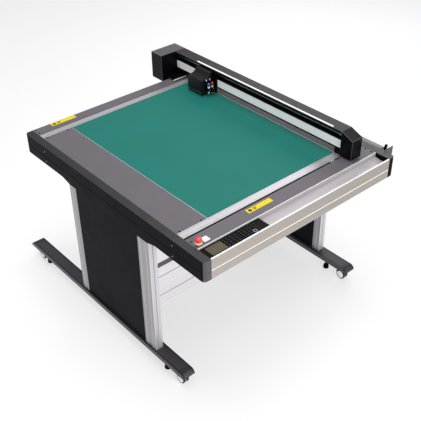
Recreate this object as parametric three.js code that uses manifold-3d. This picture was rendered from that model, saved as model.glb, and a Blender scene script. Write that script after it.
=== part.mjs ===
// Flatbed vinyl cutter on a two-legged stand, in millimetres.
// +X is the way the gantry travels (to the operator's right), +Y is the rear and +Z is up.
// Everything is placed from the table's front edge (y = 0), its centre line (x = 0) and the
// floor (z = 0); the last lines move the whole machine so that the origin is under its centre.
import * as THREE from 'three';
import { mergeVertices } from 'three/addons/utils/BufferGeometryUtils.js';
import Module from 'manifold-3d';

const wasm = await Module();
wasm.setup();

// ---------------------------------------------------------------- driving sizes
const CLEARANCE = 0.3; // between pieces that touch
const RUNNING_FIT = 0.1; // round parts that turn in a bore

// table
const TABLE_WIDTH = 1300;
const TABLE_DEPTH = 1502;
const TABLE_HEIGHT = 941;
const SIDE_COVER_WIDTH = 44;
const SIDE_COVER_WALL = 3.5;
const SIDE_COVER_CORNER = 20;
const BODY_HEIGHT = 112; // height of the table's edge all round
const UPPER_COVER_HEIGHT = 64; // from the deck down to the parting line
const SKIRT_DROP = 17; // the covers reach lower over the legs
const SKIRT_RAMP = 66;
const SKIRT_INSET = 12; // inside the columns' outer edges
const SHEET = 2;
const PAN_SHEET = 2;
const BED_SHEET = 3;

// front to rear across the deck
const TOOL_TRAY_WIDTH = 95;
const FRONT_STRIP_WIDTH = 86;
const FRONT_SLOT = 9;
const FRONT_RAIL_WIDTH = 46;
const REAR_RAIL_WIDTH = 43;
const REAR_SLOT = 8;
const REAR_STRIP_WIDTH = 68;
const RAIL_PROUD = 2; // the rails stand this much above the deck
const RAIL_WALL = 4;
const FOLD_DEPTH = 53; // how far the strips fold down into the slots

// left to right across the deck
const LEFT_DECK_WIDTH = 181;
const RIGHT_DECK_WIDTH = 158;
const MAT_THICKNESS = 3;
const BED_THICKNESS = 15;

// tool tray extrusion and control panel
const TRAY_DEPTH = 30;
const TRAY_LIP = 9;
const TRAY_FILLET = 16;
const TRAY_WALL = 3;
const EDGE_GROOVE = 3;
const PANEL_LENGTH = 366;
const PANEL_DROP = 8; // below the deck
const DISPLAY_SIZE = { x: 90, y: 62, thick: 2 };
const DISPLAY_INSET = { x: 28, y: 8 };

// emergency stop
const ESTOP_AT = { x: 76, y: 124 }; // from the table's left and front edges
const ESTOP_BODY_R = 11;
const ESTOP_BODY_DEPTH = 34; // below the deck
const ESTOP_FLANGE = { radius: 18, rim: 3, step: 6 };
const ESTOP_COLLAR = { radius: 13, top: 7 };
const ESTOP_BORE = { radius: 6, depth: 22 };
const ESTOP_STEM_DEPTH = 15; // leaves room below it for the travel
const MUSHROOM = { radius: 17, height: 17, edge: 2, rim: 10, shoulder: 3, crown: 8 };
const ESTOP_TRAVEL = 4;

// stand
const FOOT_LENGTH = 1493;
const FOOT_WIDTH = 76;
const FOOT_THICKNESS = 27;
const FOOT_TOP = 101;
const FOOT_WALL = 3;
const FOOT_FRONT = 173; // how far behind the table's front the feet begin
const FOOT_INSET = 32; // centre of a foot in from the table's side
const COLUMN_DEPTH = 90;
const COLUMN_THICKNESS = 45;
const COLUMN_INSET = 5;
const COLUMN_SLOT = { mouth: 8, width: 16, lip: 2.5, depth: 8 };
const COLUMN_CORE_WALL = 3; // between the slots and the hollow core
const FRONT_COLUMN_AT = 408;
const REAR_COLUMN_AT = 1003;
const LEG_SHEET = 1.5;
const LEG_SKIN = 0.5; // outer face, proud of the columns
const LEG_PANEL_LAP = { front: 38, rear: 28 };
const CROSS_BEAM = { thick: 30, height: 240, bottom: 393, groove: 3, wall: 3 };

// casters and levelling feet
const CASTER_FRONT = 67; // swivel pin in from the foot's front end
const CASTER_REAR = 63;
const CASTER_TRAIL = 14;
const WHEEL_R = 30;
const WHEEL_WIDTH = 36; // over both discs
const WHEEL_GAP = 11; // between the discs
const WHEEL_LIFT = 0.5; // the levelling feet carry the machine
const AXLE_R = 4;
const AXLE_HUB_R = 11;
const STEM_THICKNESS = 8;
const SWIVEL_PLATE = 6;
const SWIVEL_R = 23;
const SWIVEL_PIN_R = 6;
const LEVELLER_FRONT = 179; // from the foot's front end
const LEVELLER_REAR = 139; // from the foot's rear end
const LEVELLER_PAD_R = 17;
const LEVELLER_STUD_R = 5;
const LEVELLER_TOP = 84;
const LEVELLER_PAD = { rim: 5, dome: 12, domeR: 12, nutR: 8, top: 18 };

// gantry
const GANTRY_RIGHT_GAP = 95; // parked, from the right-hand cover
const GANTRY_WIDTH = 76;
const GANTRY_HEIGHT = 148; // above the deck
const BEAM_UNDERSIDE = 42; // above the deck
const BEAM_FACE_HEIGHT = 44;
const BEAM_SET_BACK = 10;
const BEAM_BACK_THICKNESS = 25;
const COVER_SHEET = 3;
const COVER_LIP = 15;
const FRONT_HOUSING_AT = 116;
const FRONT_HOUSING_LENGTH = 76;
const FRONT_HOUSING_DROP = 30;
const HOUSING_UNDERSIDE = 6.5; // above the deck
const REAR_HOUSING_WIDTH = 186;
const REAR_HOUSING_OUT = 29; // behind the table's rear edge
const REAR_HOUSING_DEPTH = 99;
const REAR_HOUSING_BELOW_DECK = 19;
const CARRIAGE_GAP = 20; // front carriage above the deck
const REAR_CARRIAGE = { lift: 5, depth: 76, reach: 80, plate: 8 };
const DRIVE_ARM = { width: 40, thick: 4 };

// cutting head
const HEAD_FORWARD = 322; // parked, from the table's rear edge to the head's front
const HEAD_WIDTH = 125;
const HEAD_REACH = 90; // out from the gantry's near side
const HEAD_UNDERSIDE = 5; // above the deck
const NOSE_HEIGHT = 96;
const HEAD_HEIGHT = 129;
const HEAD_WALL = 3;
const HEAD_CHIN = { in: 5, up: 28 };
const HEAD_NOSE_R = 10;
const HEAD_SWEEP = { at: 32, radius: 26 }; // centre in from the near face
const TOOL_SPACING = 26;
const TOOL_FROM_HEAD = 17;
const TOOL_FIRST_X = 48; // first tool out from the gantry's near side
const TOOL_KNOB_R = 9;
const TOOL_BODY_R = 7;
const TOOL_TIP_LIFT = 8; // tip above the deck with the tool up
const TOOL_BLADE = { radius: 2, length: 6 };
const TOOL_CONE = { start: 8, shoulder: 20, end: 22, radius: 4 }; // above the tip
const TOOL_KNOB = { bottom: 64, top: 82, edge: 2 }; // above the deck
const TOOL_HOLDER = { bottom: 32, top: 48, wall: 5 }; // above the deck
const HEAD_SHOE = { inset: 20, depth: 30 }; // slides on the beam's shelf

// belt drives
const DRIVE_SHAFT_IN = 46; // shafts in from the inside of the covers
const DRIVE_SHAFT_R = 6;
const DRIVE_SHAFT_BELOW = 73; // below the deck
const PULLEY_R = 17;
const PULLEY_WIDTH = 6;
const BELT_WIDTH = 5;
const BELT_THICKNESS = 2;
const HEAD_BELT_THICKNESS = 1;
const MOTOR = { side: 57, length: 70 };
const HEAD_MOTOR = { side: 42, length: 46 };
const HEAD_PULLEY_R = 9.5;

// roll holder
const ROLL_OUT = 42; // roll centre out from the table's side
const ROLL_BELOW = 30; // below the deck
const ROLL_R = 20;
const ROLL_SPINDLE_R = 12;
const ROLL_BRACKET_IN = 72; // from the table's front and rear edges
const ROLL_BRACKET = { reach: 75, drop: 75, tip: 48, thick: 5, flange: 34 };
const ROLL_HOOK = { inner: 13, outer: 20, width: 14, rise: 52 };

// power inlet
const INLET = { fromLeft: 154, width: 50, height: 30, depth: 32, flange: 4, belowDeck: 68 };
const INLET_WALL = 5;
const INLET_PIN = { half: { x: 1, z: 2 }, spacing: 7, back: 4, tip: 3 };

// ---------------------------------------------------------------- derived places
const deckTop = TABLE_HEIGHT;
const bodyBottom = TABLE_HEIGHT - BODY_HEIGHT;
const coverX = TABLE_WIDTH / 2;
const insideX = coverX - SIDE_COVER_WIDTH;
const betweenCovers = insideX - CLEARANCE;
const panTop = bodyBottom + PAN_SHEET;

const frontStripY = [TOOL_TRAY_WIDTH + CLEARANCE, TOOL_TRAY_WIDTH + CLEARANCE + FRONT_STRIP_WIDTH];
const frontRailY = [frontStripY[1] + FRONT_SLOT, frontStripY[1] + FRONT_SLOT + FRONT_RAIL_WIDTH];
const rearStripY = [TABLE_DEPTH - REAR_STRIP_WIDTH, TABLE_DEPTH];
const rearRailY = [rearStripY[0] - REAR_SLOT - REAR_RAIL_WIDTH, rearStripY[0] - REAR_SLOT];
const bedY = [frontRailY[1] + CLEARANCE, rearRailY[0] - CLEARANCE];
const matX = [-betweenCovers + LEFT_DECK_WIDTH, betweenCovers - RIGHT_DECK_WIDTH];
const matUnderside = deckTop - MAT_THICKNESS;
const railTop = deckTop + RAIL_PROUD;

const footX = coverX - FOOT_INSET;
const footBottom = FOOT_TOP - FOOT_THICKNESS;
const columnOuterX = coverX - COLUMN_INSET;
const columnInnerX = columnOuterX - COLUMN_THICKNESS;
const columnBottom = FOOT_TOP + CLEARANCE;
const columnTop = bodyBottom - CLEARANCE;

const gantryFarX = insideX - GANTRY_RIGHT_GAP;
const gantryNearX = gantryFarX - GANTRY_WIDTH;
const gantryTop = deckTop + GANTRY_HEIGHT;
const rearHousingY = TABLE_DEPTH + REAR_HOUSING_OUT;
const headY = TABLE_DEPTH - HEAD_FORWARD;
const beamBottom = deckTop + BEAM_UNDERSIDE;
const beamNearX = gantryNearX + BEAM_SET_BACK;
const beamFarX = gantryFarX - COVER_SHEET - CLEARANCE * 10;
const beamY = [FRONT_HOUSING_AT + FRONT_HOUSING_LENGTH + 2, rearHousingY - 2];
const shelfTop = beamBottom + BEAM_FACE_HEIGHT;

const frontBeltY = (frontStripY[1] + frontRailY[0]) / 2;
const rearBeltY = (rearRailY[1] + rearStripY[0]) / 2;
const driveX = insideX - DRIVE_SHAFT_IN;
const driveZ = deckTop - DRIVE_SHAFT_BELOW;
const beltInnerR = PULLEY_R + CLEARANCE;
const beltOuterR = beltInnerR + BELT_THICKNESS;

const headBeltZ = (shelfTop + gantryTop - COVER_SHEET) / 2;
const headBeltX = beamNearX + 16;
const headFrontPinY = beamY[0] + 21;
const headMotorY = rearHousingY + 30;
const headBeltR = HEAD_PULLEY_R + CLEARANCE;

const rollX = coverX + ROLL_OUT;
const rollZ = deckTop - ROLL_BELOW;

// ---------------------------------------------------------------- shape tools

// Joins equal vertices, drops triangles that have no area and makes the faces point outward.
function weld(geometry) {
  const bare = geometry.clone();
  bare.deleteAttribute('normal');
  bare.deleteAttribute('uv');
  const merged = mergeVertices(bare, 1e-4);
  const position = merged.getAttribute('position');
  const source = merged.getIndex().array;
  const kept = [];
  let volume = 0;
  const [a, b, c] = [new THREE.Vector3(), new THREE.Vector3(), new THREE.Vector3()];
  for (let i = 0; i < source.length; i += 3) {
    const [p, q, r] = [source[i], source[i + 1], source[i + 2]];
    if (p !== q && q !== r && r !== p) {
      kept.push(p, q, r);
      a.fromBufferAttribute(position, p);
      b.fromBufferAttribute(position, q);
      c.fromBufferAttribute(position, r);
      volume += a.dot(b.cross(c));
    }
  }
  if (volume < 0) kept.reverse();
  merged.setIndex(kept);
  return merged;
}

function toManifold(geometry) {
  const welded = weld(geometry);
  return new wasm.Manifold(new wasm.Mesh({
    numProp: 3,
    vertProperties: new Float32Array(welded.getAttribute('position').array),
    triVerts: new Uint32Array(welded.getIndex().array),
  }));
}

function fromManifold(manifold) {
  const mesh = manifold.getMesh();
  const geometry = new THREE.BufferGeometry();
  geometry.setAttribute('position', new THREE.BufferAttribute(mesh.vertProperties, 3));
  geometry.setIndex(new THREE.BufferAttribute(mesh.triVerts, 1));
  return geometry;
}

function join(...geometries) {
  return fromManifold(geometries.map(toManifold).reduce((whole, piece) => whole.add(piece)));
}

function cut(geometry, ...tools) {
  return fromManifold(tools.map(toManifold).reduce((whole, tool) => whole.subtract(tool),
    toManifold(geometry)));
}

// A box from its ranges along X, Y and Z.
function block([x0, x1], [y0, y1], [z0, z1]) {
  return new THREE.BoxGeometry(x1 - x0, y1 - y0, z1 - z0)
    .translate((x0 + x1) / 2, (y0 + y1) / 2, (z0 + z1) / 2);
}

function shapeOf(points, holes = []) {
  const shape = new THREE.Shape(points.map(([u, v]) => new THREE.Vector2(u, v)));
  shape.holes = holes.map((hole) => new THREE.Path(hole.map(([u, v]) => new THREE.Vector2(u, v))));
  return shape;
}

function rectangle([u0, u1], [v0, v1]) {
  return [[u0, v0], [u1, v0], [u1, v1], [u0, v1]];
}

// The points of an arc, counter-clockwise when end is more than start (degrees).
function arc(u, v, radius, start, end, steps) {
  return Array.from({ length: steps + 1 }, (_, i) => {
    const angle = THREE.MathUtils.degToRad(start + ((end - start) * i) / steps);
    return [u + radius * Math.cos(angle), v + radius * Math.sin(angle)];
  });
}

function roundedRectangle([u0, u1], [v0, v1], radius, steps = 4) {
  return [
    ...arc(u1 - radius, v0 + radius, radius, -90, 0, steps),
    ...arc(u1 - radius, v1 - radius, radius, 0, 90, steps),
    ...arc(u0 + radius, v1 - radius, radius, 90, 180, steps),
    ...arc(u0 + radius, v0 + radius, radius, 180, 270, steps),
  ];
}

function extruded(shape, length) {
  return new THREE.ExtrudeGeometry(shape, { depth: length, bevelEnabled: false, curveSegments: 8 });
}

// Prisms whose section is drawn as (x, y), (x, z) and (y, z).
function prismAlongZ(shape, [z0, z1]) {
  return extruded(shape, z1 - z0).translate(0, 0, z0);
}

function prismAlongY(shape, [y0, y1]) {
  return extruded(shape, y1 - y0).rotateX(Math.PI / 2).translate(0, y1, 0);
}

function prismAlongX(shape, [x0, x1]) {
  return extruded(shape, x1 - x0).rotateX(Math.PI / 2).rotateZ(Math.PI / 2).translate(x0, 0, 0);
}

// A turned piece: the profile is (radius, height) and the axis is Z.
function turned(profile, segments = 24) {
  const points = profile.map(([radius, height]) => new THREE.Vector2(radius, height));
  return new THREE.LatheGeometry(points, segments).rotateX(Math.PI / 2);
}

function rod(radius, length, segments = 24) {
  return turned([[0, 0], [radius, 0], [radius, length], [0, length]], segments);
}

// Turns a piece made along Z so that it lies along X or along Y.
const alongX = (geometry) => geometry.rotateY(Math.PI / 2);
const alongY = (geometry) => geometry.rotateX(-Math.PI / 2);

function finish(color, roughness, metalness) {
  return () => new THREE.MeshStandardMaterial({ color, roughness, metalness });
}

const finishes = {
  blackPlastic: finish('#26262b', 0.5, 0),
  blackPaint: finish('#2b2931', 0.55, 0.2),
  greyPaint: finish('#7d787c', 0.5, 0.3),
  gantryPaint: finish('#4a464b', 0.45, 0.4),
  aluminium: finish('#d0cdd0', 0.35, 0.9),
  steel: finish('#a9a7ae', 0.4, 0.9),
  tyre: finish('#1b1b1d', 0.8, 0),
  belt: finish('#161616', 0.8, 0),
  mat: finish('#16705f', 0.7, 0),
  display: finish('#6e6b56', 0.2, 0),
  yellowPlastic: finish('#e9d9a0', 0.4, 0),
  red: finish('#e33b42', 0.35, 0),
  blue: finish('#3f7bc8', 0.35, 0),
  bracket: finish('#57504b', 0.5, 0.3),
  tube: finish('#c5c3be', 0.5, 0.2),
};

const machine = new THREE.Group();

function add(name, geometry, makeFinish, place = { x: 0, y: 0, z: 0 }) {
  const mesh = new THREE.Mesh(weld(geometry), makeFinish());
  mesh.name = name;
  mesh.position.set(place.x, place.y, place.z);
  machine.add(mesh);
}

// ---------------------------------------------------------------- stand

// Foot beam: a closed tube with rounded ends and holes in its underside for the swivel pins
// and the levelling studs.
function footBeam() {
  const half = FOOT_WIDTH / 2;
  const nose = FOOT_THICKNESS;
  const outer = prismAlongX(shapeOf([
    ...arc(FOOT_LENGTH - nose, 0, nose, 0, 90, 6),
    ...arc(nose, 0, nose, 90, 180, 6),
  ]), [-half, half]);
  const inner = block([-half + FOOT_WALL, half - FOOT_WALL], [nose, FOOT_LENGTH - nose],
    [FOOT_WALL, FOOT_THICKNESS - FOOT_WALL]);
  const hole = (radius, y) => rod(radius, FOOT_WALL * 2, 20).translate(0, y, -FOOT_WALL / 2);
  return cut(outer, inner,
    hole(SWIVEL_PIN_R + CLEARANCE, CASTER_FRONT),
    hole(SWIVEL_PIN_R + CLEARANCE, FOOT_LENGTH - CASTER_REAR),
    hole(LEVELLER_STUD_R + CLEARANCE, LEVELLER_FRONT),
    hole(LEVELLER_STUD_R + CLEARANCE, FOOT_LENGTH - LEVELLER_REAR));
}

// One undercut slot of a column, as points that follow a face which runs along +u.
function slotPoints(centre) {
  const { mouth, width, lip, depth } = COLUMN_SLOT;
  return [
    [centre - mouth / 2, 0], [centre - mouth / 2, lip], [centre - width / 2, lip],
    [centre - width / 2, depth], [centre + width / 2, depth], [centre + width / 2, lip],
    [centre + mouth / 2, lip], [centre + mouth / 2, 0],
  ];
}

// Column: a hollow extrusion with two slots in each wide face and one in each narrow face.
function column() {
  const [w, d] = [COLUMN_THICKNESS, COLUMN_DEPTH];
  const wide = [d / 4, (3 * d) / 4].flatMap(slotPoints);
  const narrow = slotPoints(w / 2);
  const outline = [
    [0, 0], ...narrow,
    [w, 0], ...wide.map(([u, v]) => [w - v, u]),
    [w, d], ...narrow.map(([u, v]) => [w - u, d - v]),
    [0, d], ...wide.map(([u, v]) => [v, d - u]),
  ];
  const skin = COLUMN_SLOT.depth + COLUMN_CORE_WALL;
  const core = rectangle([skin, w - skin], [skin, d - skin]);
  return prismAlongZ(shapeOf(outline, [core]), [columnBottom, columnTop]);
}

// Leg panel: a sheet sleeve between the columns whose faces lap onto them.
function legPanel() {
  const span = [FRONT_COLUMN_AT + COLUMN_DEPTH + CLEARANCE, REAR_COLUMN_AT - CLEARANCE];
  const height = [columnBottom + SHEET, columnTop - SHEET];
  const outerSheet = [columnOuterX + CLEARANCE, columnOuterX + CLEARANCE + LEG_SKIN];
  const innerSheet = [columnInnerX - CLEARANCE - LEG_SHEET, columnInnerX - CLEARANCE];
  const sleeve = cut(
    block([innerSheet[0], outerSheet[1]], span, height),
    block([innerSheet[1], outerSheet[0] - LEG_SHEET], [span[0] - 1, span[1] + 1],
      [height[0] + LEG_SHEET, height[1] - LEG_SHEET]));
  const outer = block(outerSheet, [span[0], REAR_COLUMN_AT + LEG_PANEL_LAP.rear], height);
  const inner = block(innerSheet,
    [span[0] - LEG_PANEL_LAP.front, REAR_COLUMN_AT + LEG_PANEL_LAP.rear], height);
  return join(sleeve, outer, inner);
}

// Cross beam: a hollow extrusion, its front in three bands with a groove between each two.
function crossBeam() {
  const { thick, height, groove, wall } = CROSS_BEAM;
  const bands = [0, height / 4, (3 * height) / 4, height];
  const front = bands.slice(1, 3).reverse().flatMap((z) => [
    [0, z + groove / 2], [groove, z + groove / 2], [groove, z - groove / 2], [0, z - groove / 2],
  ]);
  const chambers = bands.slice(1).map((top, i) => rectangle(
    [groove + wall, thick - wall], [bands[i] + wall, top - wall]));
  const outline = [[0, 0], [thick, 0], [thick, height], [0, height], ...front];
  const halfLength = columnInnerX - CLEARANCE;
  return prismAlongX(shapeOf(outline, chambers), [-halfLength, halfLength])
    .translate(0, FRONT_COLUMN_AT, CROSS_BEAM.bottom);
}

// Caster stem: swivel plate, pin and the blade between the discs, swivelling about x = y = 0.
function casterStem() {
  const axleZ = WHEEL_R + WHEEL_LIFT;
  const plateTop = footBottom - CLEARANCE;
  const plateBottom = plateTop - SWIVEL_PLATE;
  const pinTop = plateTop + FOOT_WALL * 4;
  const blade = prismAlongX(shapeOf([
    ...arc(-CASTER_TRAIL, axleZ, AXLE_HUB_R, 180, 330, 6),
    [SWIVEL_PIN_R, plateBottom + 1], [-CASTER_TRAIL - AXLE_HUB_R, plateBottom + 1],
  ]), [-STEM_THICKNESS / 2, STEM_THICKNESS / 2]);
  const plate = turned([[0, plateBottom], [SWIVEL_R, plateBottom], [SWIVEL_R, plateTop],
    [SWIVEL_PIN_R, plateTop], [SWIVEL_PIN_R, pinTop], [0, pinTop]], 20);
  const bore = alongX(rod(AXLE_R + RUNNING_FIT, STEM_THICKNESS * 2))
    .translate(-STEM_THICKNESS, -CASTER_TRAIL, axleZ);
  return cut(join(blade, plate), bore);
}

// Twin caster wheel: two discs on one axle, lying along X.
function casterWheel() {
  const half = WHEEL_WIDTH / 2;
  const bevel = 3;
  const disc = [[AXLE_R, WHEEL_GAP / 2], [WHEEL_R, WHEEL_GAP / 2], [WHEEL_R, half - bevel],
    [WHEEL_R - bevel, half], [0, half]];
  const otherDisc = disc.map(([radius, x]) => [radius, -x]).reverse();
  return alongX(turned([...otherDisc, ...disc]));
}

function levellingFoot() {
  const { rim, dome, domeR, nutR, top } = LEVELLER_PAD;
  return turned([[0, 0], [LEVELLER_PAD_R, 0], [LEVELLER_PAD_R, rim], [domeR, dome], [nutR, dome],
    [nutR, top], [LEVELLER_STUD_R, top], [LEVELLER_STUD_R, LEVELLER_TOP], [0, LEVELLER_TOP]], 20);
}

function addStand() {
  const casters = { front: FOOT_FRONT + CASTER_FRONT, rear: FOOT_FRONT + FOOT_LENGTH - CASTER_REAR };
  const levellers = {
    front: FOOT_FRONT + LEVELLER_FRONT,
    rear: FOOT_FRONT + FOOT_LENGTH - LEVELLER_REAR,
  };
  const columns = { front: FRONT_COLUMN_AT, rear: REAR_COLUMN_AT };
  for (const [side, sign] of [['left', -1], ['right', 1]]) {
    const x = sign * footX;
    add(`${side}_foot_beam`, footBeam(), finishes.blackPaint, { x, y: FOOT_FRONT, z: footBottom });
    for (const end of ['front', 'rear']) {
      const columnX = sign > 0 ? columnInnerX : -columnOuterX;
      add(`${side}_${end}_column`, column(), finishes.aluminium, { x: columnX, y: columns[end], z: 0 });
      add(`${side}_${end}_caster_stem`, casterStem(), finishes.steel, { x, y: casters[end], z: 0 });
      add(`${side}_${end}_caster_wheel`, casterWheel(), finishes.tyre,
        { x, y: casters[end] - CASTER_TRAIL, z: WHEEL_R + WHEEL_LIFT });
      add(`${side}_${end}_levelling_foot`, levellingFoot(), finishes.steel,
        { x, y: levellers[end], z: 0 });
    }
  }
  add('right_leg_panel', legPanel(), finishes.blackPaint);
  add('left_leg_panel', mirroredInX(legPanel()), finishes.blackPaint);
  add('cross_beam', crossBeam(), finishes.aluminium);
}

// ---------------------------------------------------------------- table

// The same piece for the other side of the centre line.
function mirroredInX(geometry) {
  return geometry.clone().scale(-1, 1, 1);
}

// Left-hand cover shell. With a top it is walled all round, without one its inside is open.
function coverShell(bottom, top, hasTop) {
  const outline = (inset) => {
    const radius = SIDE_COVER_CORNER - inset;
    const x = -coverX + inset;
    const open = hasTop ? -inset : inset;
    const right = -insideX + open;
    return [
      [right, inset], [right, TABLE_DEPTH - inset],
      ...arc(x + radius, TABLE_DEPTH - inset - radius, radius, 90, 180, 6),
      ...arc(x + radius, inset + radius, radius, 180, 270, 6),
    ];
  };
  const roof = hasTop ? top - SIDE_COVER_WALL : top + 1;
  return cut(
    prismAlongZ(shapeOf(outline(0)), [bottom, top]),
    prismAlongZ(shapeOf(outline(SIDE_COVER_WALL)), [bottom - 1, roof]));
}

function upperCover() {
  return coverShell(deckTop - UPPER_COVER_HEIGHT, deckTop, true);
}

// The lower cover hangs deeper between the two ramps, over the legs.
function lowerCover() {
  const shell = coverShell(bodyBottom - SKIRT_DROP,
    deckTop - UPPER_COVER_HEIGHT - CLEARANCE, false);
  const skirt = [FRONT_COLUMN_AT + SKIRT_INSET, REAR_COLUMN_AT + COLUMN_DEPTH - SKIRT_INSET];
  const below = bodyBottom - SKIRT_DROP - 1;
  const wasteEnd = (edge, ramp, end) => prismAlongX(
    shapeOf([[end, below], [edge, below], [edge, bodyBottom - SKIRT_DROP], [ramp, bodyBottom],
      [end, bodyBottom]]), [-coverX - 1, -insideX + 1]);
  return cut(shell,
    wasteEnd(skirt[0], skirt[0] - SKIRT_RAMP, -1),
    wasteEnd(skirt[1], skirt[1] + SKIRT_RAMP, TABLE_DEPTH + 1));
}

// Front extrusion: ribbed front face above, tool tray along its top.
function frontExtrusion() {
  const floor = deckTop - TRAY_DEPTH;
  const rearWall = TOOL_TRAY_WIDTH - TRAY_WALL;
  const grooveZ = deckTop - UPPER_COVER_HEIGHT;
  const outline = [
    [0, bodyBottom], [TOOL_TRAY_WIDTH, bodyBottom], [TOOL_TRAY_WIDTH, deckTop],
    [rearWall, deckTop], [rearWall, floor + 6], [rearWall - 6, floor],
    ...arc(TRAY_LIP + TRAY_FILLET, floor + TRAY_FILLET, TRAY_FILLET, 270, 180, 6),
    [TRAY_LIP, deckTop - 3], [TRAY_LIP - 3, deckTop], [1.5, deckTop], [0, deckTop - 1.5],
    [0, grooveZ + EDGE_GROOVE / 2], [EDGE_GROOVE / 2, grooveZ + EDGE_GROOVE / 2],
    [EDGE_GROOVE / 2, grooveZ - EDGE_GROOVE / 2], [0, grooveZ - EDGE_GROOVE / 2],
  ];
  const chamber = [
    [EDGE_GROOVE / 2 + TRAY_WALL, bodyBottom + TRAY_WALL],
    [TOOL_TRAY_WIDTH - TRAY_WALL, bodyBottom + TRAY_WALL],
    [TOOL_TRAY_WIDTH - TRAY_WALL, floor - TRAY_WALL],
    [TRAY_LIP + TRAY_FILLET - TRAY_WALL, floor - TRAY_WALL],
    [EDGE_GROOVE / 2 + TRAY_WALL, floor + TRAY_FILLET - TRAY_WALL],
  ];
  return prismAlongX(shapeOf(outline, [chamber]), [-betweenCovers, betweenCovers]);
}

// Front strip: the deck sheet with a fold down into the slot, bored for the emergency stop.
function frontStrip() {
  const section = [
    [frontStripY[0], deckTop - SHEET], [frontStripY[1] - SHEET, deckTop - SHEET],
    [frontStripY[1] - SHEET, deckTop - FOLD_DEPTH], [frontStripY[1], deckTop - FOLD_DEPTH],
    [frontStripY[1], deckTop], [frontStripY[0], deckTop],
  ];
  const hole = rod(ESTOP_BODY_R + CLEARANCE, SHEET * 3)
    .translate(-coverX + ESTOP_AT.x, ESTOP_AT.y, deckTop - SHEET * 2);
  return cut(prismAlongX(shapeOf(section), [-betweenCovers, betweenCovers]), hole);
}

// Rear strip: deck sheet folded into the slot and down the back, with the inlet's cut-out.
function rearStrip() {
  const [front, rear] = rearStripY;
  const section = [
    [front, deckTop - FOLD_DEPTH], [front + SHEET, deckTop - FOLD_DEPTH],
    [front + SHEET, deckTop - SHEET], [rear - SHEET, deckTop - SHEET],
    [rear - SHEET, bodyBottom], [rear, bodyBottom], [rear, deckTop], [front, deckTop],
  ];
  return cut(
    prismAlongX(shapeOf(section), [-betweenCovers, betweenCovers]),
    inletBlock(CLEARANCE, [rear - SHEET * 2, rear + SHEET]));
}

// Rail: a box extrusion on the pan that carries the gantry and the bed, bored for the shafts.
function rail([front, rear]) {
  const section = shapeOf(
    rectangle([front, rear], [panTop + CLEARANCE, railTop]),
    [rectangle([front + RAIL_WALL, rear - RAIL_WALL],
      [panTop + CLEARANCE + RAIL_WALL, railTop - RAIL_WALL])]);
  const bore = (x) => alongY(rod(DRIVE_SHAFT_R + RUNNING_FIT, rear - front + 4, 28))
    .translate(x, front - 2, driveZ);
  return cut(prismAlongX(section, [-betweenCovers, betweenCovers]), bore(driveX), bore(-driveX));
}

// Bed panel: a sheet with a rim folded down all round.
function bedPanel() {
  const top = matUnderside - CLEARANCE;
  return cut(
    block([-betweenCovers, betweenCovers], bedY, [top - BED_THICKNESS, top]),
    block([-betweenCovers + BED_SHEET, betweenCovers - BED_SHEET],
      [bedY[0] + BED_SHEET, bedY[1] - BED_SHEET], [top - BED_THICKNESS - 1, top - BED_SHEET]));
}

function addTable() {
  const panHalf = coverX - SIDE_COVER_WALL - CLEARANCE;
  const panFront = TOOL_TRAY_WIDTH + CLEARANCE;
  const panCorner = TABLE_DEPTH - SIDE_COVER_CORNER;
  const panRear = TABLE_DEPTH - SHEET - CLEARANCE;
  const pan = prismAlongZ(shapeOf([
    [-panHalf, panFront], [panHalf, panFront], [panHalf, panCorner], [betweenCovers, panCorner],
    [betweenCovers, panRear], [-betweenCovers, panRear], [-betweenCovers, panCorner],
    [-panHalf, panCorner]]), [bodyBottom, panTop]);
  const deckZ = [matUnderside, deckTop];
  const tiles = {
    left_deck_plate: [-betweenCovers, matX[0] - CLEARANCE],
    cutting_mat: [matX[0], matX[1]],
    right_deck_plate: [matX[1] + CLEARANCE, betweenCovers],
  };
  add('base_pan', pan, finishes.greyPaint);
  add('bed_panel', bedPanel(), finishes.aluminium);
  for (const [name, x] of Object.entries(tiles)) {
    add(name, block(x, bedY, deckZ), name === 'cutting_mat' ? finishes.mat : finishes.greyPaint);
  }
  add('front_rail', rail(frontRailY), finishes.aluminium);
  add('rear_rail', rail(rearRailY), finishes.aluminium);
  add('front_deck_strip', frontStrip(), finishes.greyPaint);
  add('rear_deck_strip', rearStrip(), finishes.greyPaint);
  add('front_extrusion', frontExtrusion(), finishes.aluminium);
  for (const [side, turn] of [['left', (g) => g], ['right', mirroredInX]]) {
    add(`${side}_cover_upper`, turn(upperCover()), finishes.blackPlastic);
    add(`${side}_cover_lower`, turn(lowerCover()), finishes.blackPlastic);
  }
}

// ---------------------------------------------------------------- controls and power

function panelRange() {
  return [-betweenCovers + CLEARANCE, -betweenCovers + CLEARANCE + PANEL_LENGTH];
}

function displayBlock(gap, [z0, z1]) {
  const x0 = panelRange()[0] + DISPLAY_INSET.x;
  const y0 = TRAY_LIP + CLEARANCE * 10 + DISPLAY_INSET.y;
  return block([x0 - gap, x0 + DISPLAY_SIZE.x + gap], [y0 - gap, y0 + DISPLAY_SIZE.y + gap], [z0, z1]);
}

function controlPanel() {
  const top = deckTop - PANEL_DROP;
  const [front, rear] = [TRAY_LIP + CLEARANCE, TOOL_TRAY_WIDTH - TRAY_WALL - CLEARANCE];
  const floor = deckTop - TRAY_DEPTH + CLEARANCE;
  const section = [[front, top - 6], [front + TRAY_FILLET, floor], [rear - 10, floor],
    [rear, floor + 10], [rear, top], [front, top]];
  return cut(prismAlongX(shapeOf(section), panelRange()),
    displayBlock(CLEARANCE, [top - DISPLAY_SIZE.thick, top + 1]));
}

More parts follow.
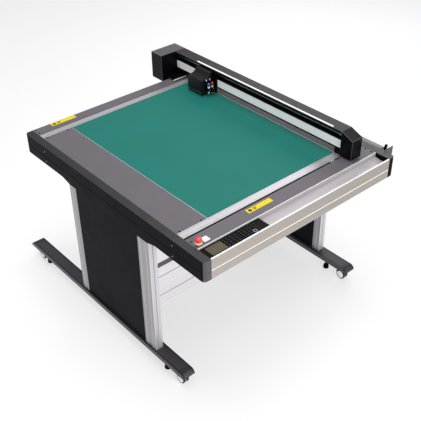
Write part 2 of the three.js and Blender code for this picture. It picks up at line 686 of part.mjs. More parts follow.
// the base in its hole, with the collar that stops the mushroom head
function estopBase() {
  const { radius, rim, step } = ESTOP_FLANGE;
  return turned([
    [ESTOP_BORE.radius, ESTOP_COLLAR.top], [ESTOP_BORE.radius, -ESTOP_BORE.depth],
    [0, -ESTOP_BORE.depth], [0, -ESTOP_BODY_DEPTH], [ESTOP_BODY_R, -ESTOP_BODY_DEPTH],
    [ESTOP_BODY_R, CLEARANCE], [radius, CLEARANCE], [radius, rim], [radius - rim, step],
    [ESTOP_COLLAR.radius, step], [ESTOP_COLLAR.radius, ESTOP_COLLAR.top],
    [ESTOP_BORE.radius, ESTOP_COLLAR.top],
  ]);
}

// the mushroom head on its stem, raised by its travel
function estopButton() {
  const { radius, height, edge, rim, shoulder, crown } = MUSHROOM;
  const stemR = ESTOP_BORE.radius - RUNNING_FIT;
  const low = ESTOP_COLLAR.top + ESTOP_TRAVEL;
  const top = low + height;
  return turned([
    [0, -ESTOP_STEM_DEPTH], [stemR, -ESTOP_STEM_DEPTH], [stemR, low], [radius - edge / 2, low],
    [radius, low + edge], [radius, low + rim], [radius - shoulder, top - shoulder],
    [radius - crown, top - edge / 2], [0, top],
  ]);
}

function addControls() {
  const top = deckTop - PANEL_DROP;
  const at = { x: -coverX + ESTOP_AT.x, y: ESTOP_AT.y, z: deckTop };
  add('control_panel', controlPanel(), finishes.blackPlastic);
  add('display_window', displayBlock(0, [top - DISPLAY_SIZE.thick + CLEARANCE, top + CLEARANCE]),
    finishes.display);
  add('estop_base', estopBase(), finishes.yellowPlastic, at);
  add('estop_button', estopButton(), finishes.red, at);
  add('power_inlet', powerInlet(), finishes.blackPlastic);
}

function inletBlock(gap, y) {
  const x0 = -coverX + INLET.fromLeft;
  const z0 = deckTop - INLET.belowDeck - INLET.height / 2;
  return block([x0 - gap, x0 + INLET.width + gap], y, [z0 - gap, z0 + INLET.height + gap]);
}

// Power inlet: body behind the rear sheet, flange outside it and three pins in the recess.
function powerInlet() {
  const back = TABLE_DEPTH;
  const body = inletBlock(0, [back - INLET.depth, back + CLEARANCE + 1]);
  const flange = inletBlock(INLET.flange, [back + CLEARANCE, back + CLEARANCE + SHEET]);
  const recess = inletBlock(-INLET_WALL, [back - INLET.depth * 0.6, back + INLET.flange]);
  const centreX = -coverX + INLET.fromLeft + INLET.width / 2;
  const centreZ = deckTop - INLET.belowDeck;
  const { half, spacing, tip } = INLET_PIN;
  const pin = (dx, dz) => block([centreX + dx - half.x, centreX + dx + half.x],
    [back - INLET.depth + INLET_PIN.back, back - tip],
    [centreZ + dz - half.z, centreZ + dz + half.z]);
  return join(cut(join(body, flange), recess),
    pin(-spacing, -half.z), pin(0, tip), pin(spacing, -half.z));
}

// ---------------------------------------------------------------- gantry

// Beam: a hollow lower box with the bright face, and a back wall above its shelf.
function gantryBeam() {
  const wallTop = gantryTop - COVER_SHEET - CLEARANCE * 10;
  const backX = beamFarX - BEAM_BACK_THICKNESS;
  const wall = 3;
  const outline = [[beamNearX, beamBottom], [beamFarX, beamBottom], [beamFarX, wallTop],
    [backX, wallTop], [backX, shelfTop], [beamNearX, shelfTop]];
  const chambers = [
    rectangle([beamNearX + wall, beamFarX - wall], [beamBottom + wall, shelfTop - wall]),
    rectangle([backX + wall, beamFarX - wall], [shelfTop + wall, wallTop - wall]),
  ];
  const beam = prismAlongY(shapeOf(outline, chambers), beamY);
  const pin = alongX(rod(HEAD_PULLEY_R, backX - headBeltX + BELT_WIDTH + 1))
    .translate(headBeltX - BELT_WIDTH, headFrontPinY, headBeltZ);
  return join(beam, pin);
}

// Gantry cover: a sheet folded over the top, with a short lip in front and a back wall.
function gantryCover() {
  const top = gantryTop;
  const section = [
    [gantryNearX, top - COVER_LIP], [gantryNearX + COVER_SHEET, top - COVER_LIP],
    [gantryNearX + COVER_SHEET, top - COVER_SHEET], [gantryFarX - COVER_SHEET, top - COVER_SHEET],
    [gantryFarX - COVER_SHEET, beamBottom], [gantryFarX, beamBottom], [gantryFarX, top],
    [gantryNearX, top],
  ];
  const start = FRONT_HOUSING_AT + FRONT_HOUSING_LENGTH + CLEARANCE;
  return prismAlongY(shapeOf(section), [start, rearHousingY - CLEARANCE]);
}

// Front housing: a shell open at its rear and underneath, its top sloping down to the front.
function frontHousing() {
  const bottom = deckTop + HOUSING_UNDERSIDE;
  const rear = FRONT_HOUSING_AT + FRONT_HOUSING_LENGTH;
  const section = (front, low, high, back) => shapeOf([
    [front, low], [back, low], [back, high], [front, high - FRONT_HOUSING_DROP]]);
  return cut(
    prismAlongX(section(FRONT_HOUSING_AT, bottom, gantryTop, rear), [gantryNearX, gantryFarX]),
    prismAlongX(section(FRONT_HOUSING_AT + COVER_SHEET, bottom - 1, gantryTop - COVER_SHEET,
      rear + 1), [gantryNearX + COVER_SHEET, gantryFarX - COVER_SHEET]));
}

// Rear housing: a box that holds the head's motor, with a window for the belt.
function rearHousing() {
  const x = [gantryFarX - REAR_HOUSING_WIDTH, gantryFarX];
  const y = [rearHousingY, rearHousingY + REAR_HOUSING_DEPTH];
  const z = [deckTop - REAR_HOUSING_BELOW_DECK, gantryTop];
  const inset = ([low, high]) => [low + COVER_SHEET, high - COVER_SHEET];
  const window = block([headBeltX - BELT_WIDTH - 2, headBeltX + BELT_WIDTH + 2],
    [y[0] - 1, y[0] + COVER_SHEET + 1],
    [headBeltZ - HEAD_PULLEY_R - 6, headBeltZ + HEAD_PULLEY_R + 6]);
  return cut(block(x, y, z), block(inset(x), inset(y), inset(z)), window);
}

function carriageX() {
  return [beamNearX + CLEARANCE, gantryFarX - COVER_SHEET - CLEARANCE];
}

function driveArm(beltY, top) {
  const centreX = (gantryNearX + gantryFarX) / 2;
  return block([centreX - DRIVE_ARM.width / 2, centreX + DRIVE_ARM.width / 2],
    [beltY - DRIVE_ARM.thick / 2, beltY + DRIVE_ARM.thick / 2],
    [driveZ + beltOuterR + CLEARANCE, top]);
}

// Front carriage: a block under the beam, its shoe on the rail and the arm in the slot.
function frontCarriage() {
  const x = carriageX();
  const y = [FRONT_HOUSING_AT + COVER_SHEET + CLEARANCE, frontRailY[1]];
  const z = [deckTop + CARRIAGE_GAP, beamBottom - CLEARANCE];
  const shoe = block(x, [FRONT_HOUSING_AT + FRONT_HOUSING_LENGTH + CLEARANCE, y[1]],
    [railTop + CLEARANCE, z[0] + 1]);
  return join(block(x, y, z), shoe, driveArm(frontBeltY, z[0] + 1));
}

// Rear carriage: block and guide plate over the rear strip, shoe on the rail and arm in the slot.
function rearCarriage() {
  const x = carriageX();
  const y = [rearHousingY - REAR_CARRIAGE.depth - 3, rearHousingY - 3];
  const z = [deckTop + REAR_CARRIAGE.lift, beamBottom - CLEARANCE];
  const bridge = [deckTop + CARRIAGE_GAP, deckTop + CARRIAGE_GAP + REAR_CARRIAGE.plate];
  return join(
    block(x, y, z),
    block([gantryNearX - REAR_CARRIAGE.reach, x[1]], y, [z[0], z[0] + REAR_CARRIAGE.plate]),
    block(x, [rearRailY[0], y[0] + 1], bridge),
    block(x, [rearRailY[0], rearRailY[1]], [railTop + CLEARANCE, bridge[0] + 1]),
    driveArm(rearBeltY, bridge[0] + 1));
}

// A belt lying in an upright plane: two straight runs and two half turns.
function beltLoop(length, innerR, thickness) {
  const loop = (radius, steps) => [
    ...arc(length, 0, radius, -90, 90, steps), ...arc(0, 0, radius, 90, 270, steps)];
  return shapeOf(loop(innerR + thickness, 12), [loop(innerR, 12)]);
}

function addGantry() {
  add('gantry_beam', gantryBeam(), finishes.aluminium);
  add('gantry_cover', gantryCover(), finishes.gantryPaint);
  add('gantry_front_housing', frontHousing(), finishes.gantryPaint);
  add('gantry_rear_housing', rearHousing(), finishes.gantryPaint);
  add('gantry_front_carriage', frontCarriage(), finishes.blackPaint);
  add('gantry_rear_carriage', rearCarriage(), finishes.blackPaint);
  add('head_belt', prismAlongX(beltLoop(headMotorY - headFrontPinY, headBeltR, HEAD_BELT_THICKNESS),
    [headBeltX - BELT_WIDTH / 2, headBeltX + BELT_WIDTH / 2]), finishes.belt,
    { x: 0, y: headFrontPinY, z: headBeltZ });
  add('head_motor', headMotor(), finishes.blackPaint);
}

// Head motor with its pulley, the shaft lying along X.
function headMotor() {
  const face = headBeltX - BELT_WIDTH - 4;
  const half = HEAD_MOTOR.side / 2;
  const body = prismAlongX(shapeOf(roundedRectangle([-half, half], [-half, half], 5, 2)),
    [face - HEAD_MOTOR.length, face]);
  const shaft = alongX(rod(2.5, 12, 16)).translate(face - 2, 0, 0);
  const pulley = alongX(rod(HEAD_PULLEY_R, BELT_WIDTH + 2))
    .translate(headBeltX - BELT_WIDTH / 2 - 1, 0, 0);
  const hanger = block([face - HEAD_MOTOR.length, face], [-half / 2, half / 2],
    [half - 1, gantryTop - COVER_SHEET - CLEARANCE - headBeltZ]);
  return join(body, shaft, pulley, hanger).translate(0, headMotorY, headBeltZ);
}

// ---------------------------------------------------------------- cutting head

// Section of the head cover, as (x, z): a low nose that sweeps up to the block at the beam.
function headSection(inset) {
  const near = gantryNearX - HEAD_REACH + inset;
  const far = gantryNearX - 1;
  const bottom = deckTop + HEAD_UNDERSIDE;
  const noseTop = bottom + NOSE_HEIGHT - inset;
  const blockTop = bottom + HEAD_HEIGHT - inset;
  const radius = HEAD_NOSE_R - inset;
  const open = inset > 0 ? 1 : 0;
  return shapeOf([
    [near, bottom + HEAD_CHIN.up], [near + HEAD_CHIN.in, bottom], [near + HEAD_CHIN.in, bottom - open],
    [far + open, bottom - open],
    [far + open, blockTop],
    ...arc(near + HEAD_SWEEP.at, blockTop, HEAD_SWEEP.radius, 0, -90, 8),
    ...arc(near + radius, noseTop - radius, radius, 90, 180, 4),
  ]);
}

function headCover() {
  const y = [headY, headY + HEAD_WIDTH];
  return cut(prismAlongY(headSection(0), y),
    prismAlongY(headSection(HEAD_WALL), [y[0] + HEAD_WALL, y[1] - HEAD_WALL]));
}

function toolX(index) {
  return gantryNearX - TOOL_FIRST_X + index * TOOL_SPACING;
}

// Head carriage: plate in front of the beam, shoe on its shelf, and the two-bore tool holder.
function headCarriage() {
  const plateX = [gantryNearX + 1, beamNearX - 1.5];
  const toolY = headY - TOOL_FROM_HEAD;
  const holderY = [toolY - TOOL_BODY_R - TOOL_HOLDER.wall, headY - CLEARANCE];
  const holderZ = [deckTop + TOOL_HOLDER.bottom, deckTop + TOOL_HOLDER.top];
  const bottom = deckTop + HEAD_UNDERSIDE;
  const plate = block(plateX, [holderY[0], headY + HEAD_WIDTH - 10],
    [bottom, bottom + HEAD_HEIGHT - 4]);
  const shoe = block([plateX[0], beamNearX + HEAD_SHOE.depth],
    [headY + HEAD_SHOE.inset, headY + HEAD_WIDTH - HEAD_SHOE.inset],
    [shelfTop + CLEARANCE, headBeltZ - headBeltR - HEAD_BELT_THICKNESS - CLEARANCE]);
  const holder = block([toolX(0) - TOOL_BODY_R - TOOL_HOLDER.wall, plateX[0] + 1],
    holderY, holderZ);
  const bore = (index) => rod(TOOL_BODY_R + CLEARANCE, TOOL_HOLDER.top)
    .translate(toolX(index), toolY, deckTop + TOOL_HOLDER.wall);
  return cut(join(plate, shoe, holder), bore(0), bore(1));
}

// A tool: knob, body that slides in the holder, and the blade holder's nose below.
function tool() {
  const tip = TOOL_TIP_LIFT;
  const { bottom, top, edge } = TOOL_KNOB;
  return turned([
    [0, tip], [1, tip], [TOOL_BLADE.radius, tip + TOOL_BLADE.length],
    [TOOL_CONE.radius, tip + TOOL_CONE.start], [TOOL_BODY_R - 1.5, tip + TOOL_CONE.shoulder],
    [TOOL_BODY_R, tip + TOOL_CONE.end], [TOOL_BODY_R, bottom - edge], [TOOL_KNOB_R, bottom],
    [TOOL_KNOB_R, top - edge], [TOOL_KNOB_R - edge, top], [0, top],
  ]);
}

function addHead() {
  const y = headY - TOOL_FROM_HEAD;
  add('head_carriage', headCarriage(), finishes.blackPlastic);
  add('head_cover', headCover(), finishes.blackPlastic);
  add('blue_tool', tool(), finishes.blue, { x: toolX(0), y, z: deckTop });
  add('red_tool', tool(), finishes.red, { x: toolX(1), y, z: deckTop });
}

// ---------------------------------------------------------------- belt drive in the table

// A shaft across the table with a pulley in each slot.
function pulleyShaft() {
  const ends = [frontBeltY - 10, rearBeltY + 10];
  const shaft = alongY(rod(DRIVE_SHAFT_R, ends[1] - ends[0], 28)).translate(0, ends[0], 0);
  const pulley = (y) => alongY(rod(PULLEY_R, PULLEY_WIDTH, 28)).translate(0, y - PULLEY_WIDTH / 2, 0);
  return join(shaft, pulley(frontBeltY), pulley(rearBeltY));
}

function driveMotor() {
  const half = MOTOR.side / 2;
  const end = frontBeltY - 10 - CLEARANCE;
  const body = prismAlongY(shapeOf(roundedRectangle([-half, half], [-half, half], 6, 2)),
    [frontStripY[0] + CLEARANCE, frontStripY[0] + CLEARANCE + MOTOR.length]);
  const nose = alongY(rod(DRIVE_SHAFT_R + 5, end - frontStripY[0] - MOTOR.length))
    .translate(0, frontStripY[0] + MOTOR.length, 0);
  return join(body, nose);
}

function addDrive() {
  const beltShape = beltLoop(2 * driveX, beltInnerR, BELT_THICKNESS);
  for (const [name, y] of [['front_belt', frontBeltY], ['rear_belt', rearBeltY]]) {
    add(name, prismAlongY(beltShape, [y - BELT_WIDTH / 2, y + BELT_WIDTH / 2]), finishes.belt,
      { x: -driveX, y: 0, z: driveZ });
  }
  add('drive_shaft', pulleyShaft(), finishes.steel, { x: driveX, y: 0, z: driveZ });
  add('idler_shaft', pulleyShaft(), finishes.steel, { x: -driveX, y: 0, z: driveZ });
  add('drive_motor', driveMotor(), finishes.blackPaint, { x: driveX, y: 0, z: driveZ });
}

// ---------------------------------------------------------------- roll holder

// The hook that the roll's spindle lies in, drawn as (x, z) about the spindle.
function hookShape() {
  const { inner, outer, rise } = ROLL_HOOK;
  return shapeOf([
    ...arc(0, 0, outer, 180, 360, 12), [outer, 8], [outer - 3, 12], [inner, 6],
    ...arc(0, 0, inner, 0, -180, 12), [-inner, rise * 0.6], [-inner + 6, rise - 3], [-inner + 4, rise],
    [-outer + 4, rise - 4], [-outer, rise * 0.6],
  ]);
}

// Bracket: flange on the cover, plate standing out from it and the hook beside the plate.
function rollBracket() {
  const { reach, drop, tip, thick, flange } = ROLL_BRACKET;
  const root = coverX + CLEARANCE;
  const plate = prismAlongY(shapeOf([[root, deckTop - drop], [coverX + reach, deckTop - tip],
    [coverX + reach, deckTop], [root, deckTop]]), [0, thick]);
  const foot = block([root, root + thick], [-flange / 2, flange],
    [deckTop - UPPER_COVER_HEIGHT + 2, deckTop]);
  const hook = prismAlongY(hookShape(), [thick - 1, thick + ROLL_HOOK.width])
    .translate(rollX, 0, rollZ);
  return join(plate, foot, hook);
}

function addRollHolder() {
  const rearAt = TABLE_DEPTH - ROLL_BRACKET_IN;
  const spindle = [ROLL_BRACKET_IN + ROLL_BRACKET.thick + 1, rearAt - ROLL_BRACKET.thick - 1];
  const tube = [spindle[0] + ROLL_HOOK.width + 14, spindle[1] - ROLL_HOOK.width - 14];
  const rear = rollBracket().scale(1, -1, 1);
  add('roll_bracket_front', rollBracket(), finishes.bracket, { x: 0, y: ROLL_BRACKET_IN, z: 0 });
  add('roll_bracket_rear', rear, finishes.bracket, { x: 0, y: rearAt, z: 0 });
  add('roll_tube', alongY(turned([
    [0, spindle[0]], [ROLL_SPINDLE_R, spindle[0]], [ROLL_SPINDLE_R, tube[0]], [ROLL_R, tube[0]],
    [ROLL_R, tube[1]], [ROLL_SPINDLE_R, tube[1]], [ROLL_SPINDLE_R, spindle[1]], [0, spindle[1]],
  ], 28)), finishes.tube, { x: rollX, y: 0, z: rollZ });
}

addStand();
addTable();
addControls();
addGantry();
addHead();
addDrive();
addRollHolder();

const whole = new THREE.Box3().setFromObject(machine);
machine.position.set(-(whole.min.x + whole.max.x) / 2, -(whole.min.y + whole.max.y) / 2, -whole.min.z);

export default machine;
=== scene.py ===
"""Flatbed vinyl cutter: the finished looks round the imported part, laid out as an add-on."""

import math

import bmesh
import bpy
from bpy.props import FloatProperty, FloatVectorProperty, IntProperty, PointerProperty
from mathutils import Euler, Matrix, Vector


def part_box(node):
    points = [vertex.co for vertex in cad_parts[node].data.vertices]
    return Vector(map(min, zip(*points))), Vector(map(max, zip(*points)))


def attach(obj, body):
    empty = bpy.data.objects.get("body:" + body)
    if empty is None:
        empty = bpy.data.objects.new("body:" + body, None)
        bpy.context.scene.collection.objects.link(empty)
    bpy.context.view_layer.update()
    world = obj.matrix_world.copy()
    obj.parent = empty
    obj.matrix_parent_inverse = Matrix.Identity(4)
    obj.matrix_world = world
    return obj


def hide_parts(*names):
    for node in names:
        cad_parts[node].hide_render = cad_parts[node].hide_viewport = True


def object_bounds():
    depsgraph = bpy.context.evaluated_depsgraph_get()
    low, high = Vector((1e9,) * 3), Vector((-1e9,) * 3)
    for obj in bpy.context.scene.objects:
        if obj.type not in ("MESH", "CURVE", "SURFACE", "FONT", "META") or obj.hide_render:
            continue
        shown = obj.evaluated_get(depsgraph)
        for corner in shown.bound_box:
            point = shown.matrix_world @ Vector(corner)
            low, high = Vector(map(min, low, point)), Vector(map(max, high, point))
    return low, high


bl_info = {
    "name": "Flatbed vinyl cutter",
    "version": (1, 0, 0),
    "blender": (4, 5, 0),
    "location": "3D View > Sidebar > Vinyl cutter",
    "description": "Builds the finished pieces of a flatbed vinyl cutter around its packed part",
    "category": "Object",
}

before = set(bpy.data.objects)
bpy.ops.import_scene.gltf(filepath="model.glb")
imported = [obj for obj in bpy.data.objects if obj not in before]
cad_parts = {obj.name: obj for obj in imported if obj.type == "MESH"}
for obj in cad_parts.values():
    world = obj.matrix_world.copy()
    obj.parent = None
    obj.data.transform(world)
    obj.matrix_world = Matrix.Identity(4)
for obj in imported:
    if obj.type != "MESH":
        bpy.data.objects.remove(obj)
CAD_LOW, CAD_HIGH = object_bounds()
MM = 0.001
SIDES = ("left", "right")
ENDS = ("front", "rear")

# The table's own origin: on its centre line, at its front edge and level with its deck.
TRAY_LOW, TRAY_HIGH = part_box("front_extrusion")
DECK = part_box("left_deck_plate")[1].z
ORIGIN = Vector(((TRAY_LOW.x + TRAY_HIGH.x) / 2, TRAY_LOW.y, DECK))


def at(x, y, z):
    """A point given in millimetres from the table's origin."""
    return ORIGIN + Vector((x, y, z)) * MM


def linear(code):
    """An sRGB hex colour as linear RGB."""
    parts = [int(code[i : i + 2], 16) / 255 for i in (1, 3, 5)]
    return tuple(c / 12.92 if c <= 0.04045 else ((c + 0.055) / 1.055) ** 2.4 for c in parts)


# ---------------------------------------------------------------- sizes and colours


def length(name, description, default):
    """A size in metres, shown in the scene's unit."""
    return FloatProperty(
        name=name, description=description, default=default, min=0.0, unit="LENGTH", precision=4
    )


def tint(name, description, code):
    """A colour with a colour picker."""
    return FloatVectorProperty(
        name=name, description=description, default=linear(code), subtype="COLOR", min=0, max=1
    )


class CutterSizes(bpy.types.PropertyGroup):
    """Sizes of the small details"""

    edge: length("Edge", "Rounding of the sheet and plastic edges", 0.0012)
    screw_radius: length("Screw radius", "Radius of the deck screws' heads", 0.0046)
    rib_pitch: length("Rib pitch", "Spacing of the fine ribs on the front face", 0.005)
    rib_depth: length("Rib depth", "Depth of the fine ribs on the front face", 0.0007)
    key_gap: length("Key gap", "Space between two membrane keys", 0.0045)
    knurls: IntProperty(name="Knurls", description="Ridges round a tool's knob", default=28, min=6)
    spokes: IntProperty(name="Spokes", description="Ribs on a caster's hub", default=8, min=3)


class CutterColours(bpy.types.PropertyGroup):
    """Colours of the finishes"""

    mat: tint("Cutting mat", "Self-healing vinyl", "#1f786e")
    deck: tint("Deck", "Powder-coated plates and strips", "#6a646b")
    cover: tint("Covers", "Moulded side covers", "#0b090f")
    # A grey for the gantry's tops, lighter than their black sides: painted sheen.
    graphite: tint("Gantry top", "Brushed and anodised covers", "#2b282b")
    stand: tint("Stand", "Powder-coated leg panels", "#100e16")
    foot: tint("Feet", "Powder-coated feet", "#3a383f")
    aluminium: tint("Aluminium", "Extruded profiles", "#d9d7db")
    # Darker than the tray's aluminium: painted shade on the front face.
    face: tint("Front face", "Front extrusion", "#a39c95")
    tool_a: tint("First tool", "Anodised knob", "#2f6fc4")
    tool_b: tint("Second tool", "Anodised knob", "#c92a30")
    stop: tint("Emergency stop", "Mushroom head", "#e8353d")


# ---------------------------------------------------------------- materials


def add_node(tree, kind, inputs=None, **settings):
    """Adds a node, with its settings, and sets or links its inputs."""
    made = tree.nodes.new(kind)
    for key, value in settings.items():
        setattr(made, key, value)
    for key, value in (inputs or {}).items():
        if isinstance(value, bpy.types.NodeSocket):
            tree.links.new(value, made.inputs[key])
        else:
            made.inputs[key].default_value = value
    return made


def scaled(colour, factor):
    return tuple(min(1.0, c * factor) for c in colour[:3]) + (1.0,)


def noise(tree, place, size_mm, stretch, detail):
    """A noise pattern whose features are size_mm wide, longer along the stretched axes."""
    scale = [1 / (size_mm * MM * s) for s in stretch]
    moved = add_node(tree, "ShaderNodeMapping", {"Vector": place, "Scale": scale})
    return add_node(
        tree, "ShaderNodeTexNoise", {"Vector": moved.outputs[0], "Scale": 1.0, "Detail": detail}
    ).outputs["Fac"]


def surface(
    name,
    colour,
    roughness,
    metallic=0.0,
    grain=1.5,
    stretch=(1, 1, 1),
    mottle=60.0,
    contrast=0.08,
    relief=0.05,
    sheen=0.06,
    coat=0.0,
    specular=0.5,
    glow=0.0,
):
    """A finish with a fine grain in its relief and roughness and a broad, faint mottle in its tone.

    grain and mottle are the real widths of the two patterns in millimetres.
    """
    known = bpy.data.materials.get(name)
    if known:
        return known
    made = bpy.data.materials.new(name)
    made.use_nodes = True
    tree = made.node_tree
    tree.nodes.clear()
    shader = add_node(tree, "ShaderNodeBsdfPrincipled", {"Metallic": metallic, "Coat Weight": coat})
    shader.inputs["Specular IOR Level"].default_value = specular
    shader.inputs["Emission Color"].default_value = (1.0, 1.0, 1.0, 1.0)
    shader.inputs["Emission Strength"].default_value = glow
    place = add_node(tree, "ShaderNodeTexCoord").outputs["Object"]
    fine = noise(tree, place, grain, stretch, 2.0)
    broad = noise(tree, place, mottle, stretch, 3.0)
    both = add_node(tree, "ShaderNodeMath", {0: fine, 1: broad}, operation="ADD").outputs[0]
    tone = add_node(
        tree, "ShaderNodeMapRange", {"Value": both, "From Min": 0.7, "From Max": 1.3}
    ).outputs[0]
    ramp = add_node(tree, "ShaderNodeValToRGB", {"Fac": tone})
    ramp.color_ramp.elements[0].color = scaled(colour, 1 - contrast)
    ramp.color_ramp.elements[1].color = scaled(colour, 1 + contrast)
    tree.links.new(ramp.outputs[0], shader.inputs["Base Color"])
    gloss = add_node(
        tree,
        "ShaderNodeMapRange",
        {"Value": both, "From Min": 0.7, "From Max": 1.3,
         "To Min": max(0.02, roughness - sheen), "To Max": min(1.0, roughness + sheen)},
    ).outputs[0]
    tree.links.new(gloss, shader.inputs["Roughness"])
    if relief:
        bump = add_node(
            tree, "ShaderNodeBump",
            {"Height": fine, "Strength": relief, "Distance": grain * MM / 3},
        )
        tree.links.new(bump.outputs[0], shader.inputs["Normal"])
    out = add_node(tree, "ShaderNodeOutputMaterial")
    tree.links.new(shader.outputs[0], out.inputs["Surface"])
    return made


ALONG_X = (150, 1, 1)
ALONG_Y = (1, 150, 1)
ALONG_Z = (1, 1, 150)


def aluminium(run, tone=1.0):
    """Extruded, satin-anodised aluminium: fine die lines run along the profile and catch light."""
    names = {ALONG_X: "x", ALONG_Y: "y", ALONG_Z: "z"}
    base = scaled(bpy.context.scene.cutter_colours.aluminium, tone)
    return surface(
        f"satin anodised aluminium {names[run]} {tone:g}", base, 0.4, 0.6,
        grain=1.6, stretch=run, mottle=9, contrast=0.07, relief=0.12, sheen=0.07,
    )


